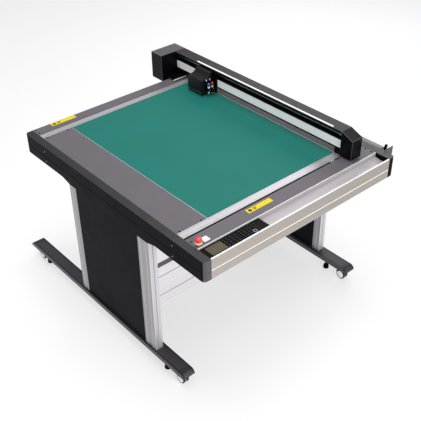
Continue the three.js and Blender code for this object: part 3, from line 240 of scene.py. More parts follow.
# Plain finishes: name of the real material, colour (a hex code or a named colour of the scene),
# roughness, metallic, then the patterns. The comment says what the finish gives the eye.
FINISHES = {
    # Satin aluminium of the tray, blasted before anodising: a soft, even white glow.
    "tray_aluminium": ("blasted anodised aluminium bright", "#c8c3c7", 0.55, 0.3, dict(
        grain=1.6, stretch=ALONG_X, mottle=30, contrast=0.06, relief=0.08, sheen=0.05,
    )),
    # Warm satin aluminium of the front face, darker than the tray's top of the same extrusion:
    # painted shade on the face turned away from the top light. The die lines run along it.
    "shaded_face_aluminium": ("satin anodised aluminium warm", "face", 0.45, 0.5, dict(
        grain=1.8, stretch=ALONG_X, mottle=7, contrast=0.1, relief=0.15, sheen=0.07,
    )),
    # Bead-blasted, clear-anodised aluminium: a cool, even, pale grey.
    "matt_aluminium": ("blasted anodised aluminium", "#f4f6f8", 0.5, 0.0, dict(
        grain=1.2, stretch=ALONG_Y, mottle=12, contrast=0.05, relief=0.08, sheen=0.05,
    )),
    # Powder-coated sheet: a faint orange peel that softens the reflections.
    "powder_coat_grey": ("powder-coated steel grey", "deck", 0.5, 0.0, dict(
        grain=2.2, mottle=90, contrast=0.05, relief=0.12, sheen=0.05, specular=0.3,
    )),
    # Black powder coat, slightly bluish, with the same orange peel.
    "powder_coat_black": ("powder-coated steel black", "stand", 0.48, 0.0, dict(
        grain=2.4, mottle=120, contrast=0.14, relief=0.14, sheen=0.07, specular=0.03,
    )),
    # Spark-eroded ABS: a tight leathery grain that keeps the highlights dull.
    "moulded_abs": ("moulded ABS black", "cover", 0.45, 0.0, dict(
        grain=1.8, mottle=140, contrast=0.12, relief=0.2, sheen=0.07, specular=0.03,
    )),
    # The same ABS, greyer and shinier: a lit copy that paints the overhead light's sheen on the
    # covers' tops.
    "sheen_abs": ("moulded ABS worn", "#242228", 0.4, 0.0, dict(
        grain=1.8, mottle=120, contrast=0.12, relief=0.15, sheen=0.07, specular=0.45,
    )),
    # A lighter copy of the covers' ABS for the left cover's front end: painted light and reflection
    # from the front light.
    "lit_front_abs": ("moulded ABS charcoal", "#4b494f", 0.42, 0.0, dict(
        grain=1.8, mottle=40, contrast=0.1, relief=0.2, sheen=0.07, specular=0.3,
    )),
    # Satin ABS of the cutting head: nearly black, with a soft sheen on its upper faces.
    "shell_abs": ("satin ABS black", "#0a090c", 0.38, 0.0, dict(
        grain=1.8, mottle=40, contrast=0.2, relief=0.1, sheen=0.07, specular=0.3,
    )),
    # Charcoal powder coat of the feet: finely streaked along the profile.
    "powder_coat_charcoal": ("powder-coated aluminium charcoal", "foot", 0.45, 0.0, dict(
        grain=2.6, stretch=(
            1, 12, 1
        ), mottle=60, contrast=0.12, relief=0.15, sheen=0.07, specular=0.4,
    )),
    # A fine pale grey line along edges and ledges: a painted highlight.
    "edge_highlight": ("rubbed coating edge", "#605e64", 0.4, 0.2, dict(
        grain=1.0, mottle=10, contrast=0.25, relief=0.05, sheen=0.08,
    )),
    # Grey slot covers snapped into the columns' grooves.
    "slot_cover": ("extruded PVC grey", "#9e9ba4", 0.5, 0.0, dict(
        grain=1.6, stretch=ALONG_Z, mottle=12, contrast=0.08, relief=0.08, sheen=0.05, specular=0.3,
    )),
    # Dead black rubber and felt that fills joints, and the same black used as painted shade in
    # grooves and painted shadow under parts: it swallows light.
    "shadow_black": ("cellular rubber black", "#060607", 0.8, 0.0, dict(
        grain=1.4, mottle=12, contrast=0.3, relief=0.2, sheen=0.08, specular=0.04,
    )),
    # Bright nickel plate: nearly white, a little cloudy.
    "nickel_plate": ("nickel-plated brass", "#f1eeea", 0.3, 0.25, dict(
        grain=0.9, mottle=6, contrast=0.1, relief=0.04, sheen=0.06,
    )),
    # Turned brass: pale gold with soft rings.
    "brass": ("turned brass", "#e2cf9a", 0.32, 0.3, dict(
        grain=0.9, mottle=6, contrast=0.1, relief=0.04, sheen=0.06,
    )),
    # Black-anodised aluminium: near black, with a soft vertical sheen.
    "black_anodised": ("black anodised aluminium", "#09080c", 0.34, 0.0, dict(
        grain=2.0, mottle=80, contrast=0.25, relief=0.06, sheen=0.07, specular=0.08,
    )),
    # Self-healing PVC: dense, matt and faintly pebbled, with a broad change of tone.
    "cutting_mat": ("self-healing PVC green", "mat", 0.55, 0.0, dict(
        grain=2.6, mottle=260, contrast=0.05, relief=0.1, sheen=0.05, specular=0.12,
    )),
    # Zinc-plated steel: bright with a slight cloudy tarnish.
    "zinc_steel": ("zinc-plated steel", "#b9b8bb", 0.35, 1.0, dict(
        grain=1.2, mottle=16, contrast=0.14, relief=0.05, sheen=0.1,
    )),
    # Black-oxide screw steel: dark, oily and a little worn.
    "oxide_steel": ("black oxide steel", "#0b0b0d", 0.45, 0.0, dict(
        grain=0.8, mottle=6, contrast=0.35, relief=0.05, sheen=0.1, specular=0.15,
    )),
    # Turned stainless steel with ring-shaped tool marks along its length.
    "turned_steel": ("turned stainless steel", "#d4d3d1", 0.25, 1.0, dict(
        grain=0.9, mottle=7, contrast=0.1, relief=0.06, sheen=0.08,
    )),
    # Polyurethane tread: dull black with scuffs.
    "polyurethane": ("polyurethane tread black", "#19191c", 0.6, 0.0, dict(
        grain=1.5, mottle=14, contrast=0.35, relief=0.2, sheen=0.1,
    )),
    # Polyamide hub: off-white, moulded, slightly glossy.
    "polyamide_white": ("polyamide white", "#f4f3f4", 0.4, 0.0, dict(
        grain=1.2, mottle=18, contrast=0.06, relief=0.05, sheen=0.06,
    )),
    # Matt polyester film over the keys: black with a fine print texture.
    "membrane_film": ("polyester membrane black", "#0a090b", 0.4, 0.0, dict(
        grain=1.4, mottle=30, contrast=0.3, relief=0.1, sheen=0.06, specular=0.06,
    )),
    # Reflective LCD behind clear acrylic: olive grey, glossy and faintly lined by its rows.
    "display_glass": ("LCD under acrylic", "#5d5945", 0.2, 0.0, dict(
        grain=1.5, stretch=ALONG_X, mottle=40, contrast=0.08, relief=0.0, sheen=0.03, specular=0.2,
    )),
    # Neoprene timing belt: dead black with a woven back.
    "belt_rubber": ("neoprene belt", "#121213", 0.75, 0.0, dict(
        grain=1.0, mottle=5, contrast=0.3, relief=0.3, sheen=0.08,
    )),
    # Pale paper-wound core: matt, with faint bands along the winding.
    "roll_core": ("paper core pale", "#959290", 0.6, 0.0, dict(
        grain=2.5, stretch=ALONG_Y, mottle=12, contrast=0.06, relief=0.1, sheen=0.05,
    )),
    # Painted bracket steel, brown black, bright where its edge is sheared.
    "bracket_steel": ("painted steel umber", "#5c5150", 0.45, 0.0, dict(
        grain=2.0, mottle=40, contrast=0.12, relief=0.1, sheen=0.08, specular=0.15,
    )),
}


def plain(key):
    """A plain finish from the table."""
    name, colour, roughness, metallic, patterns = FINISHES[key]
    if colour.startswith("#"):
        tone = linear(colour)
    else:
        tone = getattr(bpy.context.scene.cutter_colours, colour)
    return surface(name, tone, roughness, metallic, **patterns)


def bright_aluminium(run):
    """Nearly white aluminium on lips, grooves and column corners: a painted highlight that draws a
    bright line.
    """
    names = {ALONG_X: "x", ALONG_Y: "y", ALONG_Z: "z"}
    return surface(
        f"bright cut aluminium {names[run]}", linear("#f6f5f7"), 0.4, 0.2,
        grain=1.4, stretch=run, mottle=8, contrast=0.03, relief=0.05, sheen=0.05,
    )


def graphite_anodised(tone=1.0):
    """Brushed sheet in a grey lighter than the black anodised sides: the sheen of grazing light
    painted into its tone, with lengthwise brush lines.
    """
    return surface(
        f"brushed anodised aluminium graphite {tone:g}",
        scaled(bpy.context.scene.cutter_colours.graphite, tone), 0.45,
        0.1, grain=2.0, stretch=ALONG_Y, mottle=14, contrast=0.13, relief=0.1, sheen=0.08,
        specular=0.22,
    )


def legend_ink(tone="#55535a"):
    """Screen-printed ink marks: slightly uneven."""
    return surface(
        f"screen ink {tone[1:]}", linear(tone), 0.5,
        grain=1.0, mottle=6, contrast=0.12, relief=0.03, sheen=0.05,
    )


def glossy_plastic(name, colour):
    """Injection-moulded glossy plastic with slight flow marks."""
    return surface(
        name, colour, 0.28, grain=1.6, mottle=20, contrast=0.06, relief=0.03, sheen=0.06, coat=0.3,
    )


def label_vinyl(name, code):
    """Printed self-adhesive vinyl, satin."""
    return surface(
        name, linear(code), 0.45, grain=1.4, mottle=30, contrast=0.04, relief=0.03, sheen=0.05,
        specular=0.2,
    )


def anodised_knob(name, colour):
    """Bright-dyed anodised aluminium: saturated, with crisp highlights."""
    return surface(
        name, colour, 0.28, 0.55, grain=0.9, mottle=6, contrast=0.12, relief=0.06, sheen=0.06,
    )


# ---------------------------------------------------------------- shapes

AXES = {"X": (1, 2, 0), "Y": (0, 2, 1), "Z": (0, 1, 2)}


def point(axis, u, v, along):
    """The point whose section coordinates are u and v and whose place on the axis is along."""
    made = [0.0, 0.0, 0.0]
    for index, value in zip(AXES[axis], (u, v, along)):
        made[index] = value
    return made


def arc(u, v, radius, start, end, steps):
    return [
        (u + radius * math.cos(a), v + radius * math.sin(a))
        for a in (math.radians(start + (end - start) * i / steps) for i in range(steps + 1))
    ]


def rounded(low, high, radius, steps=5):
    """A rectangle with round corners, as section points."""
    (u0, v0), (u1, v1) = low, high
    return (
        arc(u1 - radius, v0 + radius, radius, -90, 0, steps)
        + arc(u1 - radius, v1 - radius, radius, 0, 90, steps)
        + arc(u0 + radius, v1 - radius, radius, 90, 180, steps)
        + arc(u0 + radius, v0 + radius, radius, 180, 270, steps)
    )


class Shape:
    """Closed solids gathered into one piece. A finish is the number of one of its materials."""

    def __init__(self):
        self.vertices = []
        self.faces = []
        self.finishes = []

    def add(self, vertices, faces, finish=0):
        first = len(self.vertices)
        self.vertices += [tuple(v) for v in vertices]
        self.faces += [[first + i for i in face] for face in faces]
        self.finishes += [finish] * len(faces)

    def prism(self, axis, section, low, high, finish=0):
        count = len(section)
        vertices = [point(axis, u, v, along) for along in (low, high) for u, v in section]
        sides = [(i, (i + 1) % count, (i + 1) % count + count, i + count) for i in range(count)]
        caps = [list(range(count)), list(range(2 * count - 1, count - 1, -1))]
        self.add(vertices, caps + sides, finish)

    def block(self, low, high, finish=0):
        section = [(low[0], low[1]), (high[0], low[1]), (high[0], high[1]), (low[0], high[1])]
        self.prism("Z", section, low[2], high[2], finish)

    def turned(self, axis, centre, profile, segments=40, finish=0):
        """Turns (radius, height) points about an axis. A profile off the axis is closed."""
        u, v, along = (centre[i] for i in AXES[axis])
        vertices, rings = [], []
        for radius, height in profile:
            rings.append((len(vertices), 1 if radius == 0 else segments))
            for i in range(rings[-1][1]):
                a = 2 * math.pi * i / segments
                vertices.append(
                    point(axis, u + radius * math.cos(a), v + radius * math.sin(a), along + height)
                )
        pairs = list(zip(rings, rings[1:]))
        if profile[0][0] > 0:
            pairs.append((rings[-1], rings[0]))
        faces = []
        for (a, many_a), (b, many_b) in pairs:
            for i in range(segments):
                j = (i + 1) % segments
                corners = (a + i % many_a, a + j % many_a, b + j % many_b, b + i % many_b)
                face = list(dict.fromkeys(corners))
                if len(face) > 2:
                    faces.append(face)
        self.add(vertices, faces, finish)

    def paint(self, finish, wanted):
        """Gives a finish to the faces whose middle point passes a test."""
        for i, face in enumerate(self.faces):
            middle = sum((Vector(self.vertices[v]) for v in face), Vector()) / len(face)
            if wanted(middle):
                self.finishes[i] = finish

    def mesh_object(self, name, materials, smooth=None):
        mesh = bpy.data.meshes.new(name)
        mesh.from_pydata(self.vertices, [], self.faces)
        for material in materials:
            mesh.materials.append(material)
        mesh.polygons.foreach_set("material_index", self.finishes)
        edit = bmesh.new()
        edit.from_mesh(mesh)
        bmesh.ops.recalc_face_normals(edit, faces=edit.faces)
        edit.to_mesh(mesh)
        edit.free()
        if smooth is not None:
            mesh.shade_smooth()
            mesh.set_sharp_from_angle(angle=math.radians(smooth))
        made = bpy.data.objects.new(name, mesh)
        bpy.context.scene.collection.objects.link(made)
        return made

    def piece(
        self, name, materials, body, replaces=(), smooth=None, edge=0.0, steps=2, rim=-1
    ):
        """The finished piece: in place, rounded at its edges, riding on its body."""
        made = self.mesh_object(name, materials, smooth)
        if edge:
            soften(made, edge, steps, rim)
        return settle(made, body, replaces)


def soften(obj, width, steps=2, finish=-1):
    bevel = obj.modifiers.new("Edges", "BEVEL")
    bevel.width = width
    bevel.segments = steps
    bevel.limit_method = "ANGLE"
    bevel.angle_limit = math.radians(34)
    bevel.miter_outer = "MITER_ARC"
    bevel.material = finish


def settle(obj, body, replaces=()):
    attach(obj, body)
    for node in replaces:
        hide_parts(node)
    return obj


def dress(node, materials, edge=0.0, pick=None, rim=-1):
    """Gives a CAD node its finishes and rounded edges.

    pick chooses a finish for a polygon, and rim is the finish of the rounded edges.
    """
    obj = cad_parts[node]
    obj.data.materials.clear()
    for material in materials:
        obj.data.materials.append(material)
    indices = [pick(p) if pick else 0 for p in obj.data.polygons]
    obj.data.polygons.foreach_set("material_index", indices)
    if edge:
        weld = obj.modifiers.new("Weld", "WELD")
        weld.merge_threshold = 1e-5
        soften(obj, edge, finish=rim)
    return obj


# ---------------------------------------------------------------- repeated details


def repeat_tree(name, sources):
    """A geometry-node tree that puts a piece on points, realises it and gives it its material.

    sources adds the nodes that make the points and their turn, and returns both sockets.
    """
    tree = bpy.data.node_groups.new(name, "GeometryNodeTree")
    tree.interface.new_socket("Geometry", in_out="INPUT", socket_type="NodeSocketGeometry")
    tree.interface.new_socket("Piece", in_out="INPUT", socket_type="NodeSocketObject")
    tree.interface.new_socket("Material", in_out="INPUT", socket_type="NodeSocketMaterial")
    tree.interface.new_socket("Geometry", in_out="OUTPUT", socket_type="NodeSocketGeometry")
    points, turn = sources(tree)
    given = add_node(tree, "NodeGroupInput").outputs
    info = add_node(tree, "GeometryNodeObjectInfo", {"Object": given["Piece"]})
    placed = add_node(
        tree, "GeometryNodeInstanceOnPoints",
        {"Points": points, "Instance": info.outputs["Geometry"], "Rotation": turn},
    )
    real = add_node(tree, "GeometryNodeRealizeInstances", {"Geometry": placed.outputs[0]})
    painted = add_node(
        tree, "GeometryNodeSetMaterial", {
            "Geometry": real.outputs[0], "Material": given["Material"]
        }
    )
    add_node(tree, "NodeGroupOutput", {0: painted.outputs[0]})
    return tree


def on_given_points(tree):
    """Points are the vertices of the object itself, and Turn is one rotation for all."""
    tree.interface.new_socket("Turn", in_out="INPUT", socket_type="NodeSocketVector")
    given = add_node(tree, "NodeGroupInput").outputs
    turn = add_node(tree, "FunctionNodeEulerToRotation", {0: given["Turn"]})
    return given["Geometry"], turn.outputs[0]


def on_a_grid(tree):
    """Points in rows and columns, centred, in the XY plane."""
    for name, kind in (
        ("Size X", "NodeSocketFloat"), ("Size Y", "NodeSocketFloat"),
        ("Columns", "NodeSocketInt"), ("Rows", "NodeSocketInt"),
    ):
        tree.interface.new_socket(name, in_out="INPUT", socket_type=kind)
    given = add_node(tree, "NodeGroupInput").outputs
    grid = add_node(
        tree, "GeometryNodeMeshGrid",
        {"Size X": given["Size X"], "Size Y": given["Size Y"],
         "Vertices X": given["Columns"], "Vertices Y": given["Rows"]},
    )
    turn = add_node(tree, "FunctionNodeEulerToRotation")
    return grid.outputs["Mesh"], turn.outputs[0]


def on_a_ring(tree):
    """Points round a circle about Z, each piece's X axis pointing outward."""
    tree.interface.new_socket("Count", in_out="INPUT", socket_type="NodeSocketInt")
    tree.interface.new_socket("Radius", in_out="INPUT", socket_type="NodeSocketFloat")
    given = add_node(tree, "NodeGroupInput").outputs
    ring = add_node(
        tree, "GeometryNodeMeshCircle", {"Vertices": given["Count"], "Radius": given["Radius"]}
    )
    where = add_node(tree, "GeometryNodeInputPosition")
    turn = add_node(
        tree, "FunctionNodeAlignRotationToVector", {"Vector": where.outputs[0]}, axis="X"
    )
    return ring.outputs["Mesh"], turn.outputs[0]


def repeated(name, sources, part, material, move=Matrix.Identity(4), points=(), **inputs):
    """Runs a repeating tree once and returns its result as a plain mesh, moved into place."""
    tree = bpy.data.node_groups.get(sources.__name__) or repeat_tree(sources.__name__, sources)
    ids = {i.name: i.identifier for i in tree.interface.items_tree if i.in_out == "INPUT"}
    base = bpy.data.objects.new("points", bpy.data.meshes.new("points"))
    base.data.from_pydata([tuple(p) for p in points], [], [])
    bpy.context.scene.collection.objects.link(base)
    modifier = base.modifiers.new("Repeat", "NODES")
    modifier.node_group = tree
    for key, value in {"Piece": part, "Material": material, **inputs}.items():
        modifier[ids[key.replace("_", " ")]] = value
    base.update_tag()
    bpy.context.view_layer.update()
    evaluated = base.evaluated_get(bpy.context.evaluated_depsgraph_get())
    mesh = bpy.data.meshes.new_from_object(evaluated)
    base.modifiers.remove(modifier)
    for spare in (base, part):
        bpy.data.objects.remove(spare)
    if not mesh.polygons:
        raise RuntimeError(f"{name}: the repeating tree made no faces")
    mesh.name = name
    mesh.transform(move)
    made = bpy.data.objects.new(name, mesh)
    bpy.context.scene.collection.objects.link(made)
    return made


def socket_screw(radius):
    """A button-head screw with a hexagon recess, its head up along Z and standing on z = 0."""
    height, recess, floor = radius * 0.55, radius * 0.5, radius * 0.2
    shape = Shape()
    hexagon = arc(0, 0, recess, 0, 300, 5)
    outer = 24
    steps = [2 * math.pi * i / outer for i in range(outer)]
    rings = [
        [(radius * out * math.cos(a), radius * out * math.sin(a), height * up) for a in steps]
        for out, up in ((1, 0), (0.96, 0.55), (0.7, 1))
    ]
    rings += [[(u, v, z) for u, v in spread(hexagon, outer)] for z in (height, floor)]
    vertices = [p for ring in rings for p in ring] + [(0, 0, floor), (0, 0, 0)]
    faces = []
    for level in range(len(rings) - 1):
        for i in range(outer):
            j = (i + 1) % outer
            a, b = level * outer, (level + 1) * outer
            faces.append((a + i, a + j, b + j, b + i))
    top, bottom = len(vertices) - 2, len(vertices) - 1
    for i in range(outer):
        j = (i + 1) % outer
        faces.append((4 * outer + i, 4 * outer + j, top))
        faces.append((j, i, bottom))
    shape.add(vertices, faces)
    return shape.mesh_object("screw", [], smooth=30)


def spread(corners, count):
    """Points evenly along a closed polygon, starting at its first corner."""
    each = count // len(corners)
    loop = list(corners) + [corners[0]]
    return [
        tuple(a + (b - a) * k / each for a, b in zip(loop[i], loop[i + 1]))
        for i in range(len(corners))
        for k in range(each)
    ]


def screws(name, points, body, turn=(0, 0, 0), radius=None, material=None):
    radius = radius or bpy.context.scene.cutter_sizes.screw_radius
    made = repeated(
        name, on_given_points, socket_screw(radius), material or plain("oxide_steel"),
        points=points, Turn=turn,
    )
    return settle(made, body)


# ---------------------------------------------------------------- stand


def foot_profile(low, high, inset=0.0, front=None, rear=None):
    """Side outline of a foot from front to rear. None is the foot's own round end."""
    nose = high.z - low.z
    radius, bottom, near = nose - inset, low.z + inset, 0.1 * MM
    bends = (low.y + nose, high.y - nose)

    def top(y):
        past = max(bends[0] - y, y - bends[1], 0.0)
        return low.z + math.sqrt(radius**2 - past**2)

    start = front
    if front is None:
        start = bends[0] if rear is None else min(bends[0], rear)
        outline = [(low.y + inset, bottom)]
        outline += [p for p in arc(bends[0], low.z, radius, 176, 96, 9) if p[0] < start - near]
    else:
        outline = [(start, bottom)]
    outline.append((start, top(start)))
    stop = max(bends[1], start) if rear is None else rear
    if stop > start:
        outline.append((stop, top(stop)))
    if rear is None:
        outline += [p for p in arc(bends[1], low.z, radius, 84, 4, 9) if p[0] > stop + near]
        stop = high.y - inset
    outline.append((stop, bottom))
    return outline


class CUTTER_OT_feet(bpy.types.Operator):
    """Feet with grooved tops and rounded end caps"""

    bl_idname = "cutter.feet"
    bl_label = "Feet"

    def execute(self, context):
        for side in SIDES:
            node = f"{side}_foot_beam"
            low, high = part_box(node)
            nose = high.z - low.z
            sunk, rail, groove, cap = 1.6 * MM, 5 * MM, 3.4 * MM, 11 * MM
            flat = (low.y + nose, high.y - nose)
            shape = Shape()
            core = foot_profile(low, high, sunk)
            # The sunk core is black, so the grooves between the rails and caps show as dark lines:
            # painted shade in the grooves.
            shape.prism("X", core, low.x + sunk, high.x - sunk, 1)
            for x in (low.x, high.x - rail):
                shape.prism("X", foot_profile(low, high), x, x + rail)
            inner = (low.x + rail + groove, high.x - rail - groove)
            cuts = (
                (None, flat[0] - groove), (flat[0], flat[0] + cap),
                (flat[0] + cap + groove, flat[1] - cap - groove),
                (flat[1] - cap, flat[1]), (flat[1] + groove, None),
            )
            for front, rear in cuts:
                shape.prism("X", foot_profile(low, high, 0.0, front, rear), *inner)
            shape.piece(
                f"{side}_foot", [plain("powder_coat_charcoal"), plain("shadow_black")], "table",
                [node], edge=0.6 * MM,
            )
        return {"FINISHED"}


class CUTTER_OT_legs(bpy.types.Operator):
    """Slotted columns, leg panels and the cross beam between them"""

    bl_idname = "cutter.legs"
    bl_label = "Legs and cross beam"

    def execute(self, context):
        edge = 0.6 * MM
        bright = bright_aluminium(ALONG_Z)
        for side in SIDES:
            for end in ENDS:
                node = f"{side}_{end}_column"
                # The columns' side faces get a darker copy of their aluminium and the front and
                # back faces a lighter one: painted shade and light. The rounded corners carry the
                # painted highlight.
                dress(
                    node, [aluminium(ALONG_Z, 0.46), bright, aluminium(ALONG_Z, 0.84)], 0.9 * MM,
                    lambda polygon: 2 if abs(polygon.normal.y) > 0.7 else 0, 1,
                )
                self.slot_covers(node)
            dress(f"{side}_leg_panel", [plain("powder_coat_black")], edge)
        dress("cross_beam", [aluminium(ALONG_X)], edge)
        self.beam_grooves()
        return {"FINISHED"}

    def slot_covers(self, node):
        """Cover strips that fill the column's slots to just below its faces."""
        low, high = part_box(node)
        wide, deep, sunk = 3.95 * MM, 2 * MM, 0.2 * MM
        middle = (low + high) / 2
        quarter = (high.y - low.y) / 4
        shape = Shape()
        for y in (middle.y - quarter, middle.y + quarter):
            for x0, x1 in ((low.x + sunk, low.x + deep), (high.x - deep, high.x - sunk)):
                shape.block((x0, y - wide, low.z), (x1, y + wide, high.z))
        for y0, y1 in ((low.y + sunk, low.y + deep), (high.y - deep, high.y - sunk)):
            shape.block((middle.x - wide, y0, low.z), (middle.x + wide, y1, high.z))
        shape.piece(f"{node}_slot_covers", [plain("slot_cover")], "table")

    def beam_grooves(self):
        """Dark beads in the cross beam's two grooves."""
        low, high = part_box("cross_beam")
        half, sunk, deep = 1.4 * MM, 0.8 * MM, 2.5 * MM
        shape = Shape()
        for share in (0.25, 0.75):
            z = low.z + (high.z - low.z) * share
            shape.block((low.x, low.y + sunk, z - half), (high.x, low.y + deep, z + half))
        shape.piece("cross_beam_beads", [plain("shadow_black")], "table")


class CUTTER_OT_casters(bpy.types.Operator):
    """Twin-wheel casters with ribbed hubs and hoods"""

    bl_idname = "cutter.casters"
    bl_label = "Casters"

    def execute(self, context):
        for side in SIDES:
            for end in ENDS:
                self.caster(context, f"{side}_{end}")
        return {"FINISHED"}

    def caster(self, context, name):
        low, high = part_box(f"{name}_caster_wheel")
        centre = (low + high) / 2
        radius = (high.z - low.z) / 2
        half = (high.x - low.x) / 2
        gap = 5.5 * MM
        rim = radius - 7 * MM
        wheel = Shape()
        for sign in (-1, 1):
            tyre = [
                (rim, gap), (radius - 2 * MM, gap), (radius, gap + 2.5 * MM),
                (radius, half - 3 * MM), (radius - 1 * MM, half - 1.2 * MM),
                (radius - 3 * MM, half - 0.2 * MM), (rim, half - 0.4 * MM),
            ]
            hub = [
                (0, gap), (rim, gap), (rim, half - 0.6 * MM), (rim - 2 * MM, half - 0.2 * MM),
                (rim - 3 * MM, half - 2 * MM), (8 * MM, half - 2 * MM), (7 * MM, half - 0.5 * MM),
                (0, half - 0.3 * MM),
            ]
            for profile, finish in ((tyre, 0), (hub, 1)):
                points = [(r, sign * h) for r, h in profile]
                wheel.turned("X", centre, points, 48, finish)
        wheel.turned("X", centre, [(0, -gap), (3.9 * MM, -gap), (3.9 * MM, gap), (0, gap)], 20, 2)
        wheel.piece(
            f"{name}_twin_wheel", [
                plain("polyurethane"), plain("polyamide_white"), plain("zinc_steel")
            ],
            f"{name}_wheel", [f"{name}_caster_wheel"], smooth=32,
        )
        rib = Shape()
        rib.block((-6.5 * MM, -0.7 * MM, 0), (6.5 * MM, 0.7 * MM, 1.6 * MM))
        for sign, face in ((-1, "inner"), (1, "outer")):
            turn = Euler((0, sign * math.pi / 2, 0)).to_matrix().to_4x4()
            move = Matrix.Translation(centre + Vector((sign * (half - 2 * MM), 0, 0))) @ turn
            ribs = repeated(
                f"{name}_hub_ribs_{face}", on_a_ring, rib.mesh_object("rib", []),
                plain("polyamide_white"), move, Count=context.scene.cutter_sizes.spokes,
                Radius=14.5 * MM,
            )
            settle(ribs, f"{name}_wheel")
        dress(f"{name}_caster_stem", [plain("black_anodised")], 0.3 * MM)
        hood = Shape()
        inner, outer = radius + 1.6 * MM, radius + 4 * MM
        section = arc(centre.y, centre.z, outer, 8, 158, 22)
        section += arc(centre.y, centre.z, inner, 158, 8, 22)
        hood.prism("X", section, centre.x - half + 1 * MM, centre.x + half - 1 * MM)
        hood.piece(
            f"{name}_hood", [
                plain("shadow_black")
            ], f"{name}_caster", smooth=40, edge=0.4 * MM,
        )


class CUTTER_OT_levellers(bpy.types.Operator):
    """Levelling feet: black pads on threaded studs with a hexagon nut"""

    bl_idname = "cutter.levellers"
    bl_label = "Levelling feet"

    def execute(self, context):
        for side in SIDES:
            for end in ENDS:
                name = f"{side}_{end}"
                low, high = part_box(f"{name}_levelling_foot")
                x, y = (low.x + high.x) / 2, (low.y + high.y) / 2
                radius = (high.x - low.x) / 2
                height = high.z - low.z
                shape = Shape()
                pad = [
                    (0, 0), (radius - 1 * MM, 0), (radius, 1.2 * MM), (radius, 12 * MM),
                    (radius - 1.5 * MM, 20 * MM), (radius - 4 * MM, 27 * MM),
                    (radius - 8 * MM, 32 * MM), (8 * MM, 34 * MM), (8 * MM, 38 * MM), (0, 38 * MM),
                ]
                shape.turned("Z", (x, y, low.z), pad, 40, 0)
                thread, pitch = [(0, 38 * MM)], 1.5 * MM
                turns = int((height - 39 * MM) / pitch)
                for i in range(turns):
                    z = 38 * MM + i * pitch
                    thread += [(4.3 * MM, z), (4.9 * MM, z + pitch / 2)]
                thread += [(4.3 * MM, height), (0, height)]
                shape.turned("Z", (x, y, low.z), thread, 20, 1)
                nut = arc(x, y, 8.5 * MM, 0, 300, 5)
                shape.prism("Z", nut, low.z + 40 * MM, low.z + 46 * MM, 1)
                shape.piece(
                    f"{name}_leveller", [
                        plain("shadow_black"), plain("zinc_steel")
                    ], f"{name}_leveller",
                    [f"{name}_levelling_foot"], smooth=32,
                )
        return {"FINISHED"}


# ---------------------------------------------------------------- table


class CUTTER_OT_deck(bpy.types.Operator):
    """Deck plates, rails, mat, strips and what lies on them"""

    bl_idname = "cutter.deck"
    bl_label = "Deck"

    def execute(self, context):
        for node in ("left_deck_plate", "right_deck_plate", "front_deck_strip", "rear_deck_strip"):
            dress(node, [plain("powder_coat_grey")], 0.4 * MM)
        dress("base_pan", [plain("powder_coat_grey")])
        dress("bed_panel", [aluminium(ALONG_X, 0.8)])
        dress("cutting_mat", [plain("cutting_mat")], 0.4 * MM)
        for node in ("front_rail", "rear_rail"):
            dress(node, [aluminium(ALONG_X, 0.82)], 0.5 * MM)
        self.mat_edges()
        self.rail_strips()
        self.slot_liners()
        self.deck_screws()
        return {"FINISHED"}

    def mat_edges(self):
        """Thin bright strips that hold the mat's two side edges."""
        low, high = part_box("cutting_mat")
        for side, x in (("left", low.x), ("right", high.x)):
            shape = Shape()
            shape.prism(
                "Y", rounded((x - 1.1 * MM, high.z + 0.05 * MM), (x + 1 * MM, high.z + 0.6 * MM),
                             0.25 * MM, 3), low.y + 1 * MM, high.y - 1 * MM,
            )
            shape.piece(f"mat_edge_{side}", [aluminium(ALONG_Y)], "table")

    def rail_strips(self):
        """Ground running strips let into the rails' tops."""
        for node in ("front_rail", "rear_rail"):
            low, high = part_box(node)
            shape = Shape()
            for y in (low.y + 7 * MM, high.y - 11 * MM):
                shape.prism(
                    "X", rounded((y, high.z - 0.5 * MM), (y + 4 * MM, high.z + 0.2 * MM),
                                 0.15 * MM, 2), low.x + 1 * MM, high.x - 1 * MM,
                )
            shape.piece(f"{node}_running_strips", [plain("zinc_steel")], "table")

    def slot_liners(self):
        """Black sheets on both walls of the slots that the gantry's arms run in: painted shade in
        the slots.
        """
        for end, strip, rail in (
            ("front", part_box("front_deck_strip")[1].y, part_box("front_rail")[0].y),
            ("rear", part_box("rear_deck_strip")[0].y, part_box("rear_rail")[1].y),
        ):
            shape = Shape()
            low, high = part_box("front_rail")
            liner = math.copysign(0.6 * MM, rail - strip)
            for wall, sign in ((strip, 1), (rail, -1)):
                y0, y1 = sorted((wall, wall + sign * liner))
                shape.block((low.x, y0, DECK - 50 * MM), (high.x, y1, DECK - 1.5 * MM))
            shape.piece(f"{end}_slot_liners", [plain("moulded_abs")], "table")

    def deck_screws(self):
        points = []
        for node in ("left_deck_plate", "right_deck_plate"):
            low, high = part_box(node)
            points += [
                (x, y, high.z) for x in (low.x + 21 * MM, high.x - 30 * MM)
                for y in (low.y + 8 * MM, high.y - 8 * MM)
            ]
        low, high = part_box("front_deck_strip")
        points += [
            (x, y, high.z) for x in (low.x + 11 * MM, high.x - 11 * MM)
            for y in (low.y + 17 * MM, low.y + 56 * MM)
        ]
        low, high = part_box("rear_deck_strip")
        points += [
            (x, y, high.z) for x in (low.x + 14 * MM, high.x - 14 * MM)
            for y in (low.y + 16 * MM, high.y - 14 * MM)
        ]
        screws("deck_screws", points, "table")


